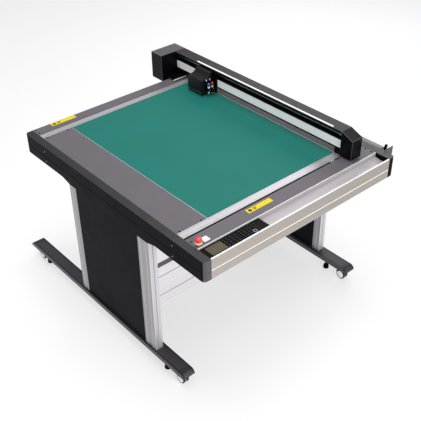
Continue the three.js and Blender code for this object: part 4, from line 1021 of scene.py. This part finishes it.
class CUTTER_OT_tray(bpy.types.Operator):
    """Front extrusion with its ribbed face and the tool tray along its top"""

    bl_idname = "cutter.tray"
    bl_label = "Front extrusion"

    def execute(self, context):
        sizes = context.scene.cutter_sizes
        low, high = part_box("front_extrusion")
        top, front = high.z, low.y

        def local(y, z):
            return (front + y * MM, top + z * MM)

        groove = -64
        face = [local(0, -1.5)]
        face += self.ribs(front, top - 7 * MM, top + (groove + 4) * MM, sizes)
        half = 2.4
        face += [local(0, groove + half), local(1.2, groove + half - 0.6)]
        face += [local(1.2, groove - half + 0.6), local(0, groove - half)]
        face += self.ribs(front, top + (groove - 4) * MM, low.z + 4 * MM, sizes)
        face += [(front, low.z + 1 * MM), (front + 1 * MM, low.z)]
        rear = [(high.y, low.z), (high.y, top - 0.6 * MM), (high.y - 0.6 * MM, top)]
        rear += [local(91.4, 0), local(91, -0.6), local(91, -23)]
        bowl = [
            local(45 + 46 * t, -30 + 7 * t * t) for t in (0.9, 0.75, 0.6, 0.45, 0.3, 0.15, 0.0)
        ]
        lip = [
            local(45 - 36 * math.sin(a), -3 - 27 * math.cos(a))
            for a in (math.radians(6 * i) for i in range(1, 15))
        ]
        edge = [local(9, -1.2), local(7.8, 0), local(1.5, 0)]
        shape = Shape()
        shape.prism("X", face + rear + bowl + lip + edge, low.x, high.x)
        # The front faces get the darker face finish: painted shade.
        shape.paint(1, lambda p: p.y < front + 0.8 * MM and p.z < top - 3 * MM)
        # The lip tops and the groove's edge get the near-white finish: a painted highlight.
        shape.paint(2, lambda p: p.z > top - 1.4 * MM)
        shape.paint(
            2, lambda p: p.y < front + 2 * MM and abs(p.z - top - groove * MM) < half * MM
        )
        shape.piece(
            "tool_tray_extrusion",
            [plain("tray_aluminium"), plain("shaded_face_aluminium"), bright_aluminium(ALONG_X)],
            "table", ["front_extrusion"], smooth=25,
        )
        return {"FINISHED"}

    def ribs(self, front, top, bottom, sizes):
        """Section points of the fine ribs, from the top down."""
        count = int((top - bottom) / sizes.rib_pitch)
        points = []
        for i in range(count):
            z = top - i * sizes.rib_pitch
            points += [
                (front, z), (front + sizes.rib_depth, z - sizes.rib_pitch * 0.35),
                (front, z - sizes.rib_pitch * 0.7),
            ]
        return points


def cover_finish(polygon):
    """Tops get the painted sheen, front ends the lighter front finish (painted light on the left
    cover), and the long sides are plain.
    """
    if polygon.normal.z > 0.5:
        return 1
    return 2 if polygon.normal.y < -0.4 else 0


class CUTTER_OT_covers(bpy.types.Operator):
    """Moulded side covers with their screws"""

    bl_idname = "cutter.covers"
    bl_label = "Side covers"

    def execute(self, context):
        edge = context.scene.cutter_sizes.edge
        for side, sign in (("left", -1), ("right", 1)):
            for half in ("upper", "lower"):
                # The covers' tops get a lighter, shinier copy of the black ABS: painted sheen.
                dress(
                    f"{side}_cover_{half}",
                    # On the left cover the front ends get a lighter copy of the ABS: painted light
                    # from the front.
                    [plain("moulded_abs"), plain("sheen_abs"), plain(
                        "lit_front_abs"
                    ) if sign < 0 else plain("moulded_abs")],
                    edge, cover_finish,
                )
            self.seam(side, sign)
            low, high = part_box(f"{side}_cover_upper")
            x = low.x if sign < 0 else high.x
            points = [
                (x, at(0, y, 0).y, DECK + z * MM) for y in (218, 1306) for z in (-30, -91)
            ]
            screws(
                f"{side}_cover_screws", points, "table",
                (0, sign * math.pi / 2, 0), radius=3.2 * MM, material=plain("zinc_steel"),
            )
        return {"FINISHED"}

    def seam(self, side, sign):
        """Dark joint between the upper and lower halves of a cover."""
        low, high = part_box(f"{side}_cover_upper")
        inset, thick, radius = -0.3 * MM, 1.6 * MM, 22 * MM
        outer, inner = (low.x, high.x) if sign < 0 else (high.x, low.x)
        outer -= sign * inset
        front, rear = low.y + 0.02 * MM, high.y - inset
        shell = []
        for shrink in (0, thick):
            r = radius - shrink
            x = outer - sign * shrink
            corner = [(inner, front + shrink)]
            corner += [
                (x - sign * (r - r * math.sin(a)), front + shrink + r - r * math.cos(a))
                for a in (math.radians(15 * i) for i in range(7))
            ]
            corner += [
                (x - sign * (r - r * math.cos(a)), rear - shrink - r + r * math.sin(a))
                for a in (math.radians(15 * i) for i in range(7))
            ]
            corner += [(inner, rear - shrink)]
            shell += corner if shrink == 0 else corner[::-1]
        shape = Shape()
        shape.prism("Z", shell, low.z - 2 * MM, low.z + 1.6 * MM)
        shape.piece(f"{side}_cover_seam", [plain("shadow_black")], "table")


class CUTTER_OT_labels(bpy.types.Operator):
    """Plain coloured labels with generic marks"""

    bl_idname = "cutter.labels"
    bl_label = "Labels"

    def execute(self, context):
        yellow = label_vinyl("label vinyl yellow", "#ead30a")
        ink = label_vinyl("label ink black", "#1a1a1a")
        for end, x, y in (("front", -255, 136), ("rear", -496, 1468)):
            shape = Shape()
            corner = at(x, y, 0)
            size = Vector((157, 31, 0.3)) * MM
            sheet = rounded((corner.x, corner.y), (corner.x + size.x, corner.y + size.y), 2 * MM)
            shape.prism("Z", sheet, DECK + 0.05 * MM, DECK + size.z)
            mark = DECK + size.z
            left = corner + Vector((10, 6, 0)) * MM
            disc = rounded(
                (left.x, left.y), (left.x + 19 * MM, left.y + 19 * MM), 9.4 * MM, 8
            )
            shape.prism("Z", disc, mark - 0.02 * MM, mark + 0.08 * MM, 1)
            for i, wide in enumerate((24, 17)):
                bar = left + Vector((29, 11 - 9 * i, 0)) * MM
                shape.prism(
                    "Z", rounded((bar.x, bar.y), (bar.x + wide * MM, bar.y + 5 * MM), 2 * MM),
                    mark - 0.02 * MM, mark + 0.08 * MM, 1,
                )
            shape.piece(f"{end}_label", [yellow, ink], "table")
        white = Shape()
        corner = at(-548, 110, 0)
        white.prism(
            "Z", rounded((corner.x, corner.y), (corner.x + 34 * MM, corner.y + 34 * MM), 1.5 * MM),
            DECK + 0.05 * MM, DECK + 0.3 * MM,
        )
        white.piece(
            "stop_label", [label_vinyl("label vinyl white", "#f2f2f2")], "table"
        )
        return {"FINISHED"}


class CUTTER_OT_controls(bpy.types.Operator):
    """Control panel, its display and membrane keys, and the power inlet"""

    bl_idname = "cutter.controls"
    bl_label = "Controls"

    def execute(self, context):
        dress("control_panel", [plain("membrane_film")], 0.5 * MM)
        dress("display_window", [plain("display_glass")])
        dress("power_inlet", [plain("moulded_abs")], 0.4 * MM)
        low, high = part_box("display_window")
        shape = Shape()
        wide = 2.2 * MM
        for a, b in (
            ((low.x - wide, low.y - wide), (high.x + wide, low.y)),
            ((low.x - wide, high.y), (high.x + wide, high.y + wide)),
            ((low.x - wide, low.y - wide), (low.x, high.y + wide)),
            ((high.x, low.y - wide), (high.x + wide, high.y + wide)),
        ):
            shape.block((*a, high.z - 0.2 * MM), (*b, high.z + 0.9 * MM))
        shape.piece(
            "display_bezel", [plain("moulded_abs")], "table", edge=0.3 * MM
        )
        self.keys(context, high)
        return {"FINISHED"}

    def keys(self, context, display_high):
        """Embossed pads under the film, in two blocks, each with a small printed mark."""
        low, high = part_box("control_panel")
        gap = context.scene.cutter_sizes.key_gap
        top = high.z
        blocks = (("function", 4, 4, 17, 11, 12, 46), ("cursor", 6, 4, 14, 11, 108, 46))
        for name, columns, rows, wide, deep, start, middle in blocks:
            size_x = (columns - 1) * (wide * MM + gap)
            size_y = (rows - 1) * (deep * MM + gap)
            centre = Vector((
                display_high.x + start * MM + size_x / 2, low.y + (middle - 4) * MM, top,
            ))
            pad = Shape()
            pad.prism(
                "Z", rounded((-wide / 2 * MM, -deep / 2 * MM), (wide / 2 * MM, deep / 2 * MM),
                             2 * MM), 0, 0.7 * MM,
            )
            mark = Shape()
            mark.prism(
                "Z", rounded((-wide / 5 * MM, -1.2 * MM), (wide / 5 * MM, 1.2 * MM), 1 * MM, 3),
                0.68 * MM, 0.8 * MM,
            )
            for kind, part, material in (
                ("keys", pad, plain("membrane_film")), ("marks", mark, legend_ink()),
            ):
                made = repeated(
                    f"{name}_{kind}", on_a_grid, part.mesh_object("part", []), material,
                    Matrix.Translation(centre), Size_X=size_x, Size_Y=size_y,
                    Columns=columns, Rows=rows,
                )
                settle(made, "table")
        frame_key = Shape()
        centre = Vector((display_high.x + 170 * MM, low.y + 20 * MM))
        half, bar = 9 * MM, 2 * MM
        for a, b in (
            ((-half, -half), (half, -half + bar)), ((-half, half - bar), (half, half)),
            ((-half, -half), (-half + bar, half)), ((half - bar, -half), (half, half)),
        ):
            frame_key.block(
                (centre.x + a[0], centre.y + a[1], top + 0.75 * MM),
                (centre.x + b[0], centre.y + b[1], top + 0.95 * MM),
            )
        frame_key.piece("start_key_frame", [legend_ink("#d8d6da")], "table")


class CUTTER_OT_stop(bpy.types.Operator):
    """Emergency stop: mushroom head on a pale collar"""

    bl_idname = "cutter.stop"
    bl_label = "Emergency stop"

    def execute(self, context):
        low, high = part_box("estop_base")
        centre = Vector(((low.x + high.x) / 2, (low.y + high.y) / 2, DECK))
        flange = (high.x - low.x) / 2
        base = Shape()
        collar = [
            (0, -33.5), (10.8, -33.5), (10.8, 0.2), (flange / MM, 0.2), (flange / MM, 2.6),
            (flange / MM - 0.9, 3.8), (15.6, 5.2), (13.6, 5.9), (12.9, 6.4), (12.5, 6.9),
            (6.1, 6.9), (6.1, -21.9), (0, -21.9),
        ]
        base.turned("Z", centre, [(r * MM, z * MM) for r, z in collar], 48)
        base.piece(
            "stop_collar", [glossy_plastic("glossy ABS cream", linear("#f0dfb4"))],
            "table", ["estop_base"], smooth=35,
        )
        low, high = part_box("estop_button")
        radius = (high.x - low.x) / 2
        top = high.z
        head = [
            (0, low.z - top), (5.9 * MM, low.z - top), (5.9 * MM, -17 * MM),
            (radius - 1.8 * MM, -17 * MM), (radius - 0.5 * MM, -16.2 * MM), (radius, -14.6 * MM),
            (radius, -8.6 * MM), (radius - 0.5 * MM, -6.2 * MM), (radius - 1.9 * MM, -3.9 * MM),
            (radius - 4.4 * MM, -2 * MM), (radius - 8 * MM, -0.7 * MM),
            (radius - 12.5 * MM, -0.1 * MM), (0, 0),
        ]
        button = Shape()
        button.turned("Z", (centre.x, centre.y, top), head, 56)
        button.piece(
            "stop_mushroom",
            [glossy_plastic("glossy ABS signal red", context.scene.cutter_colours.stop)],
            "estop_mushroom", ["estop_button"], smooth=40,
        )
        return {"FINISHED"}


class CUTTER_OT_drive(bpy.types.Operator):
    """Belts, shafts and motor inside the table"""

    bl_idname = "cutter.drive"
    bl_label = "Table drive"

    def execute(self, context):
        for node in ("front_belt", "rear_belt"):
            dress(node, [plain("belt_rubber")])
        for node in ("drive_shaft", "idler_shaft"):
            dress(node, [plain("turned_steel")])
        dress("drive_motor", [plain("black_anodised")], 0.6 * MM)
        return {"FINISHED"}


# ---------------------------------------------------------------- gantry


# Tops take the grey sheen finish and the sides the black: painted sheen on one material.
def top_or_side(polygon):
    return 1 if polygon.normal.z > 0.3 else 0


class CUTTER_OT_gantry(bpy.types.Operator):
    """Gantry: housings, top cover, beam with its bright face, carriages and small fittings"""

    bl_idname = "cutter.gantry"
    bl_label = "Gantry"

    def execute(self, context):
        edge = context.scene.cutter_sizes.edge
        for node in ("gantry_front_housing", "gantry_rear_housing"):
            # The housings' tops are painted with the sheen finish, 4.6 times lighter on the rear
            # housing and a little darker on the front one, as the light falls on them. Their
            # rounded edges carry the painted highlight.
            tone = 4.6 if node == "gantry_rear_housing" else 0.8
            dress(
                node, [
                    plain("black_anodised"), graphite_anodised(tone), plain("edge_highlight")
                ], edge,
                top_or_side, 2,
            )
        self.cover(edge)
        for node in ("gantry_front_carriage", "gantry_rear_carriage"):
            dress(node, [plain("black_anodised")], edge)
        dress("head_belt", [plain("belt_rubber")])
        dress("head_motor", [plain("black_anodised")], 0.5 * MM)
        self.beam()
        self.trim()
        self.fittings()
        return {"FINISHED"}

    def beam(self):
        low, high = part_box("gantry_beam")
        face, shelf = low.x, low.z + 44 * MM
        back = high.x - 25 * MM
        shape = Shape()
        lines = []
        for up in (8, 22, 36):
            z = low.z + up * MM
            lines += [(face, z - 0.6 * MM), (face + 0.8 * MM, z - 0.4 * MM),
                      (face + 0.8 * MM, z + 0.4 * MM), (face, z + 0.6 * MM)]
        plate = [(face, low.z + 1.5 * MM)] + lines + [(face, shelf - 1 * MM)]
        plate += [(face + 1 * MM, shelf), (face + 6 * MM, shelf), (face + 6 * MM, low.z + 1.5 * MM)]
        shape.prism("Y", plate, low.y, high.y)
        body = [
            (face + 1 * MM, low.z), (high.x, low.z), (high.x, high.z), (back, high.z),
            (back, shelf - 0.5 * MM), (face + 6 * MM, shelf - 0.5 * MM),
            (face + 6 * MM, low.z + 1.5 * MM), (face + 1 * MM, low.z + 1.5 * MM),
        ]
        shape.prism("Y", body, low.y, high.y, 1)
        guide = rounded((back - 3 * MM, shelf + 7 * MM), (back + 0.5 * MM, shelf + 19 * MM), 1 * MM)
        shape.prism("Y", guide, low.y + 4 * MM, high.y - 4 * MM, 2)
        belt_low, belt_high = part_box("head_belt")
        pin = (0, low.y + 21 * MM, (belt_low.z + belt_high.z) / 2)
        radius = (belt_high.z - belt_low.z) / 2 - 1.4 * MM
        # A black strip along the beam's underside: a painted shadow line below the bright face.
        shape.block((face + 2 * MM, low.y, low.z - 9 * MM), (face + 5 * MM, high.y, low.z), 3)
        shape.turned("X", pin, [(0, belt_low.x - 1 * MM), (radius, belt_low.x - 1 * MM),
                                (radius, belt_high.x + 1 * MM), (4 * MM, belt_high.x + 1 * MM),
                                (4 * MM, back), (0, back)], 28, 2)
        shape.piece(
            "beam_profile",
            [plain(
                "matt_aluminium"
            ), plain("black_anodised"), plain("zinc_steel"), plain("shadow_black")],
            "gantry", ["gantry_beam"], smooth=25,
        )

    def cover(self, edge):
        """Folded top cover: a lip over the recess, the top sheet and the far wall."""
        low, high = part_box("gantry_cover")
        sheet, lip = 3 * MM, 15 * MM
        top = high.z - 0.5 * MM
        section = [
            (low.x, top - lip), (low.x + sheet, top - lip), (low.x + sheet, top - sheet),
            (high.x - sheet, top - sheet), (high.x - sheet, low.z), (high.x, low.z),
            (high.x, top), (low.x, top),
        ]
        shape = Shape()
        shape.prism("Y", section, low.y, high.y)
        # The top face gets the grey sheen finish and the rounded edges the painted highlight.
        shape.paint(1, lambda p: p.z > top - 0.1 * MM)
        shape.piece(
            "folded_cover", [
                plain("black_anodised"), graphite_anodised(), plain("edge_highlight")
            ], "gantry",
            ["gantry_cover"], edge=edge, rim=2,
        )

    def trim(self):
        """White insert strip along the near edge of the top cover."""
        low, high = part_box("gantry_cover")
        shape = Shape()
        near = low.x + 3 * MM
        shape.prism(
            "Z", rounded((near, low.y + 62 * MM), (near + 12 * MM, low.y + 1138 * MM), 3 * MM),
            high.z - 1.5 * MM, high.z,
        )
        shape.piece(
            "gantry_trim", [label_vinyl("acrylic white", "#fafafa")], "gantry"
        )

    def fittings(self):
        """Bright wiper bar at the rear foot with a painted shadow under it, and the belt clamp's
        screws in the front slot.
        """
        low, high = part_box("gantry_rear_carriage")
        beam_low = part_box("gantry_beam")[0]
        plate_front = high.y - 76 * MM
        bar = Shape()
        bar.turned(
            "X", (0, plate_front - 3 * MM, DECK + 7.6 * MM),
            [(0, low.x - 6 * MM), (2 * MM, low.x - 6 * MM), (3 * MM, low.x - 4.5 * MM),
             (3 * MM, beam_low.x + 6 * MM), (0, beam_low.x + 6 * MM)], 20, 0,
        )
        # A black block under and round the bar: a painted shadow.
        bar.block(
            (low.x - 2 * MM, plate_front - 7 * MM, DECK + 1.5 * MM),
            (beam_low.x + 6 * MM, plate_front + 2 * MM, DECK + 4.4 * MM), 1,
        )
        bar.piece(
            "rear_wiper_bar", [
                plain("nickel_plate"), plain("shadow_black")
            ], "gantry", smooth=40
        )
        low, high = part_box("gantry_front_housing")
        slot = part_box("front_deck_strip")[1].y
        clamp = Shape()
        for x in (52, 67):
            centre = Vector((low.x - x * MM, slot + 4.5 * MM, DECK - 1 * MM))
            clamp.turned(
                "Z", centre, [(0, -6 * MM), (3.4 * MM, -6 * MM), (3.4 * MM, 3.5 * MM),
                              (2.4 * MM, 4.5 * MM), (0, 4.5 * MM)], 20, 0,
            )
        clamp.block(
            (low.x - 76 * MM, slot + 3.2 * MM, DECK - 9 * MM),
            (low.x + 12 * MM, slot + 5.8 * MM, DECK - 4 * MM), 1,
        )
        clamp.piece(
            "belt_clamp", [
                plain("nickel_plate"), plain("shadow_black")
            ], "gantry", smooth=30
        )


# ---------------------------------------------------------------- cutting head


class CUTTER_OT_head(bpy.types.Operator):
    """Cutting head: rounded shell and the holder that the tools slide in"""

    bl_idname = "cutter.head"
    bl_label = "Cutting head"

    def execute(self, context):
        low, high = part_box("head_cover")
        ledge = low.z + 16 * MM
        shell = Shape()
        outline = [(low.x + 4 * MM, low.z), (low.x + 4 * MM, ledge - 1.5 * MM)]
        outline += [(low.x, ledge - 0.5 * MM)]
        outline += arc(low.x + 8 * MM, high.z - 41 * MM, 8 * MM, 176, 106, 7)
        outline += arc(low.x + 30 * MM, high.z + 4 * MM, 35 * MM, -84, -8, 10)
        outline += [(high.x, high.z), (high.x, low.z)]
        shell.prism("Y", outline, low.y, high.y)
        shell.piece(
            "head_shell", [plain("shell_abs")], "head", ["head_cover"],
            smooth=30, edge=1.6 * MM, steps=3,
        )
        # The bumper's pale finish is a painted highlight along the head's ledge.
        bumper = Shape()
        bumper.prism(
            "Y", rounded((low.x - 0.8 * MM, ledge - 1.2 * MM), (low.x + 2 * MM, ledge + 1.6 * MM),
                         0.8 * MM, 3), low.y + 3 * MM, high.y - 3 * MM,
        )
        bumper.piece("head_bumper", [plain("edge_highlight")], "head")
        dress("head_carriage", [plain("black_anodised")], 0.6 * MM)
        self.lift_pins()
        return {"FINISHED"}

    def lift_pins(self):
        """Slim pins beside the tools that guide their lifting arms, and the clamp screws."""
        low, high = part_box("head_carriage")
        points = []
        for tool, finish in (("blue_tool", plain("nickel_plate")), ("red_tool", plain("brass"))):
            a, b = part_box(tool)
            x, y = (a.x + b.x) / 2, (a.y + b.y) / 2
            pin = Shape()
            foot = (x - 9.5 * MM, y + 10 * MM, DECK)
            pin.turned("Z", foot, [
                (0, 47 * MM), (1.8 * MM, 47 * MM), (1.8 * MM, 93 * MM), (0, 93 * MM),
            ], 20, 1)
            pin.turned("Z", foot, [
                (0, 92.5 * MM), (3 * MM, 92.5 * MM), (3 * MM, 101 * MM), (1.9 * MM, 102.5 * MM),
                (0, 102.5 * MM),
            ], 20, 0)
            pin.piece(
                f"{tool}_lift_pin", [finish, plain("black_anodised")], "head", smooth=35
            )
            points.append((x, low.y, DECK + 40 * MM))
        screws(
            "tool_clamp_screws", points, "head", (math.pi / 2, 0, 0), radius=3 * MM,
            material=plain("zinc_steel"),
        )


class CUTTER_OT_tools(bpy.types.Operator):
    """Two tools with knurled knobs, steel collars and blade holders"""

    bl_idname = "cutter.tools"
    bl_label = "Tools"

    def execute(self, context):
        colours = context.scene.cutter_colours
        for name, colour, ring, tip in (
            (
                "blue", colours.tool_a, plain("nickel_plate"), 1
            ), ("red", colours.tool_b, plain("brass"), 2),
        ):
            knob = anodised_knob(f"anodised aluminium {name}", colour)
            self.tool(context, name, knob, ring, tip)
        return {"FINISHED"}

    def tool(self, context, name, knob, ring, tip):
        low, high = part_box(f"{name}_tool")
        centre = Vector(((low.x + high.x) / 2, (low.y + high.y) / 2, DECK))
        parts = (
            (0, [(0, 61), (8, 61), (8.6, 62), (8.6, 77), (7.7, 79.8), (5.4, 81.5), (0, 82)]),
            (1, [
                (0, 48.6), (6.9, 48.6), (6.9, 56), (7.8, 56.4), (7.8, 59.8), (7.2, 61.2), (0, 61.2),
            ]),
            (2, [(0, 30), (6.8, 30), (6.8, 48.8), (0, 48.8)]),
            (tip, [(0, 15), (3.4, 15), (4.2, 16.4), (5.6, 25), (6.4, 27), (6.6, 30.2), (0, 30.2)]),
            (1, [(0, 8), (0.5, 9), (1.6, 11.5), (1.8, 15.2), (0, 15.2)]),
        )
        shape = Shape()
        for finish, profile in parts:
            shape.turned("Z", centre, [(r * MM, z * MM) for r, z in profile], 36, finish)
        body = f"{name}_tool_slide"
        shape.piece(
            f"{name}_tool_body", [knob, ring, plain("black_anodised")], body,
            [f"{name}_tool"], smooth=32,
        )
        ridge = Shape()
        ridge.prism(
            "Z", [(-0.1 * MM, -0.55 * MM), (0.5 * MM, 0), (-0.1 * MM, 0.55 * MM)], 0, 11 * MM
        )
        move = Matrix.Translation(centre + Vector((0, 0, 63 * MM)))
        ridges = repeated(
            f"{name}_tool_knurls", on_a_ring, ridge.mesh_object("ridge", []), knob, move,
            Count=context.scene.cutter_sizes.knurls, Radius=8.4 * MM,
        )
        settle(ridges, body)


# ---------------------------------------------------------------- roll holder


class CUTTER_OT_roll(bpy.types.Operator):
    """Roll holder: hooked brackets and the empty core on its spindle"""

    bl_idname = "cutter.roll"
    bl_label = "Roll holder"

    def execute(self, context):
        foot_thick, plate_back = 5.4 * MM, 22.2 * MM
        for end in ENDS:
            node = f"roll_bracket_{end}"
            a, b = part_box(node)
            outside = a.y if end == "front" else b.y
            foot = a.x + foot_thick

            def hook_or_plate(polygon):
                """The hook is what lies past both the foot and the plate."""
                past_plate = abs(polygon.center.y - outside) > plate_back
                return 1 if past_plate and polygon.center.x > foot else 0

            # The brackets' rounded edges carry a pale painted highlight.
            dress(
                node, [
                    plain("bracket_steel"), plain("shadow_black"), plain("edge_highlight")
                ], 0.7 * MM, hook_or_plate, 2
            )
        low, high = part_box("roll_tube")
        centre = Vector(((low.x + high.x) / 2, 0, (low.z + high.z) / 2))
        radius = (high.x - low.x) / 2
        inner, wall, recess, lip, spindle = 28 * MM, 3 * MM, 22 * MM, 0.6 * MM, 12 * MM
        tube = Shape()
        ends = (low.y + inner, high.y - inner)
        tube.turned("Y", centre, [
            (radius - wall, ends[0]), (radius - lip, ends[0]), (radius, ends[0] + lip),
            (radius, ends[1] - lip), (radius - lip, ends[1]), (radius - wall, ends[1]),
        ], 48, 0)
        sunk = 1.5 * MM
        for a, b in ((ends[0] + sunk, ends[0] + recess), (ends[1] - recess, ends[1] - sunk)):
            plug = radius - wall - 0.1 * MM
            tube.turned("Y", centre, [(spindle, a), (plug, a), (plug, b), (spindle, b)], 40, 1)
        tube.turned("Y", centre, [
            (0, low.y), (spindle - MM, low.y), (spindle, low.y + MM), (spindle, high.y - MM),
            (spindle - MM, high.y), (0, high.y),
        ], 32, 2)
        tube.piece(
            "core_and_spindle", [
                plain("roll_core"), plain("moulded_abs"), plain("zinc_steel")
            ], "media_roll",
            ["roll_tube"], smooth=35,
        )
        return {"FINISHED"}


# ---------------------------------------------------------------- stage


# Each light's name, place from the part's middle in metres, width in metres and power in watts.
LIGHTS = (
    ("top softbox", (0.0, 0.4, 4.0), 3.2, 85),
    ("rear softbox", (3.6, 2.0, 2.4), 2.6, 45),
    ("left softbox", (-4.4, 0.6, 1.0), 2.4, 35),
    ("front softbox", (-0.6, -4.6, 1.2), 2.4, 120),
)
SKY_STRENGTH = 0.45
FLOOR_REACH = 30.0
FLOOR_TOP, FLOOR_BOTTOM = -0.0005, -0.02
# The camera's azimuth, elevation and roll in degrees, and what it looks at from the part's middle.
CAMERA_ANGLES = (-40.51, 35.56, -0.85)
CAMERA_AIM = (0.0108, -0.0689, -0.0638)
CAMERA_DISTANCE = 4.333
CAMERA_LENS, CAMERA_SENSOR, CAMERA_REACH = 64.91, 36, 100


class CUTTER_OT_stage(bpy.types.Operator):
    """Pale floor, soft studio light and the camera"""

    bl_idname = "cutter.stage"
    bl_label = "Stage"

    def execute(self, context):
        scene = context.scene
        floor = Shape()
        floor.block(
            (-FLOOR_REACH, -FLOOR_REACH, FLOOR_BOTTOM), (FLOOR_REACH, FLOOR_REACH, FLOOR_TOP)
        )
        ground = floor.mesh_object("studio_floor", [
            surface("painted studio floor", (0.5, 0.5, 0.5), 0.9, mottle=900, grain=6,
                    contrast=0.005, relief=0.0, specular=0.0, glow=0.55)])
        world = bpy.data.worlds.new("studio")
        world.use_nodes = True
        sky = world.node_tree.nodes["Background"]
        sky.inputs["Color"].default_value = (1.0, 1.0, 1.0, 1.0)
        sky.inputs["Strength"].default_value = SKY_STRENGTH
        scene.world = world
        scene.view_settings.view_transform = "Standard"
        centre = (CAD_LOW + CAD_HIGH) / 2
        for name, place, size, power in LIGHTS:
            light = bpy.data.lights.new(name, "AREA")
            light.shape = "SQUARE"
            light.size = size
            light.energy = power
            lamp = bpy.data.objects.new(name, light)
            lamp.location = centre + Vector(place)
            lamp.rotation_euler = (-Vector(place)).to_track_quat("-Z", "Y").to_euler()
            lamp.visible_camera = False
            scene.collection.objects.link(lamp)
        self.camera(scene, centre)
        return {"FINISHED"}

    def camera(self, scene, centre):
        azimuth, elevation, roll = (math.radians(a) for a in CAMERA_ANGLES)
        aim = centre + Vector(CAMERA_AIM)
        back = Vector((
            math.sin(azimuth) * math.cos(elevation),
            -math.cos(azimuth) * math.cos(elevation),
            math.sin(elevation),
        ))
        camera = bpy.data.objects.new("camera", bpy.data.cameras.new("camera"))
        camera.data.sensor_width = CAMERA_SENSOR
        camera.data.lens = CAMERA_LENS
        camera.data.clip_end = CAMERA_REACH
        camera.location = aim + back * CAMERA_DISTANCE
        look = (-back).to_track_quat("-Z", "Y").to_matrix().to_4x4()
        turn = look @ Matrix.Rotation(roll, 4, "Z")
        camera.rotation_euler = turn.to_euler()
        scene.collection.objects.link(camera)
        scene.camera = camera


# ---------------------------------------------------------------- add-on

STEPS = (
    CUTTER_OT_feet,
    CUTTER_OT_legs,
    CUTTER_OT_casters,
    CUTTER_OT_levellers,
    CUTTER_OT_deck,
    CUTTER_OT_tray,
    CUTTER_OT_covers,
    CUTTER_OT_labels,
    CUTTER_OT_controls,
    CUTTER_OT_stop,
    CUTTER_OT_drive,
    CUTTER_OT_gantry,
    CUTTER_OT_head,
    CUTTER_OT_tools,
    CUTTER_OT_roll,
    CUTTER_OT_stage,
)


class CUTTER_PT_panel(bpy.types.Panel):
    """Sizes, colours and building steps of the vinyl cutter"""

    bl_label = "Vinyl cutter"
    bl_idname = "CUTTER_PT_panel"
    bl_space_type = "VIEW_3D"
    bl_region_type = "UI"
    bl_category = "Vinyl cutter"

    def draw(self, context):
        for group in (context.scene.cutter_sizes, context.scene.cutter_colours):
            box = self.layout.box()
            for name in group.__annotations__:
                box.prop(group, name)
        for step in STEPS:
            self.layout.operator(step.bl_idname)


CLASSES = (CutterSizes, CutterColours, *STEPS, CUTTER_PT_panel)


def register():
    for cls in CLASSES:
        bpy.utils.register_class(cls)
    bpy.types.Scene.cutter_sizes = PointerProperty(type=CutterSizes)
    bpy.types.Scene.cutter_colours = PointerProperty(type=CutterColours)


def unregister():
    del bpy.types.Scene.cutter_colours
    del bpy.types.Scene.cutter_sizes
    for cls in reversed(CLASSES):
        bpy.utils.unregister_class(cls)


def main():
    register()
    for step in STEPS:
        family, name = step.bl_idname.split(".")
        getattr(getattr(bpy.ops, family), name)()


if __name__ == "__main__":
    main()
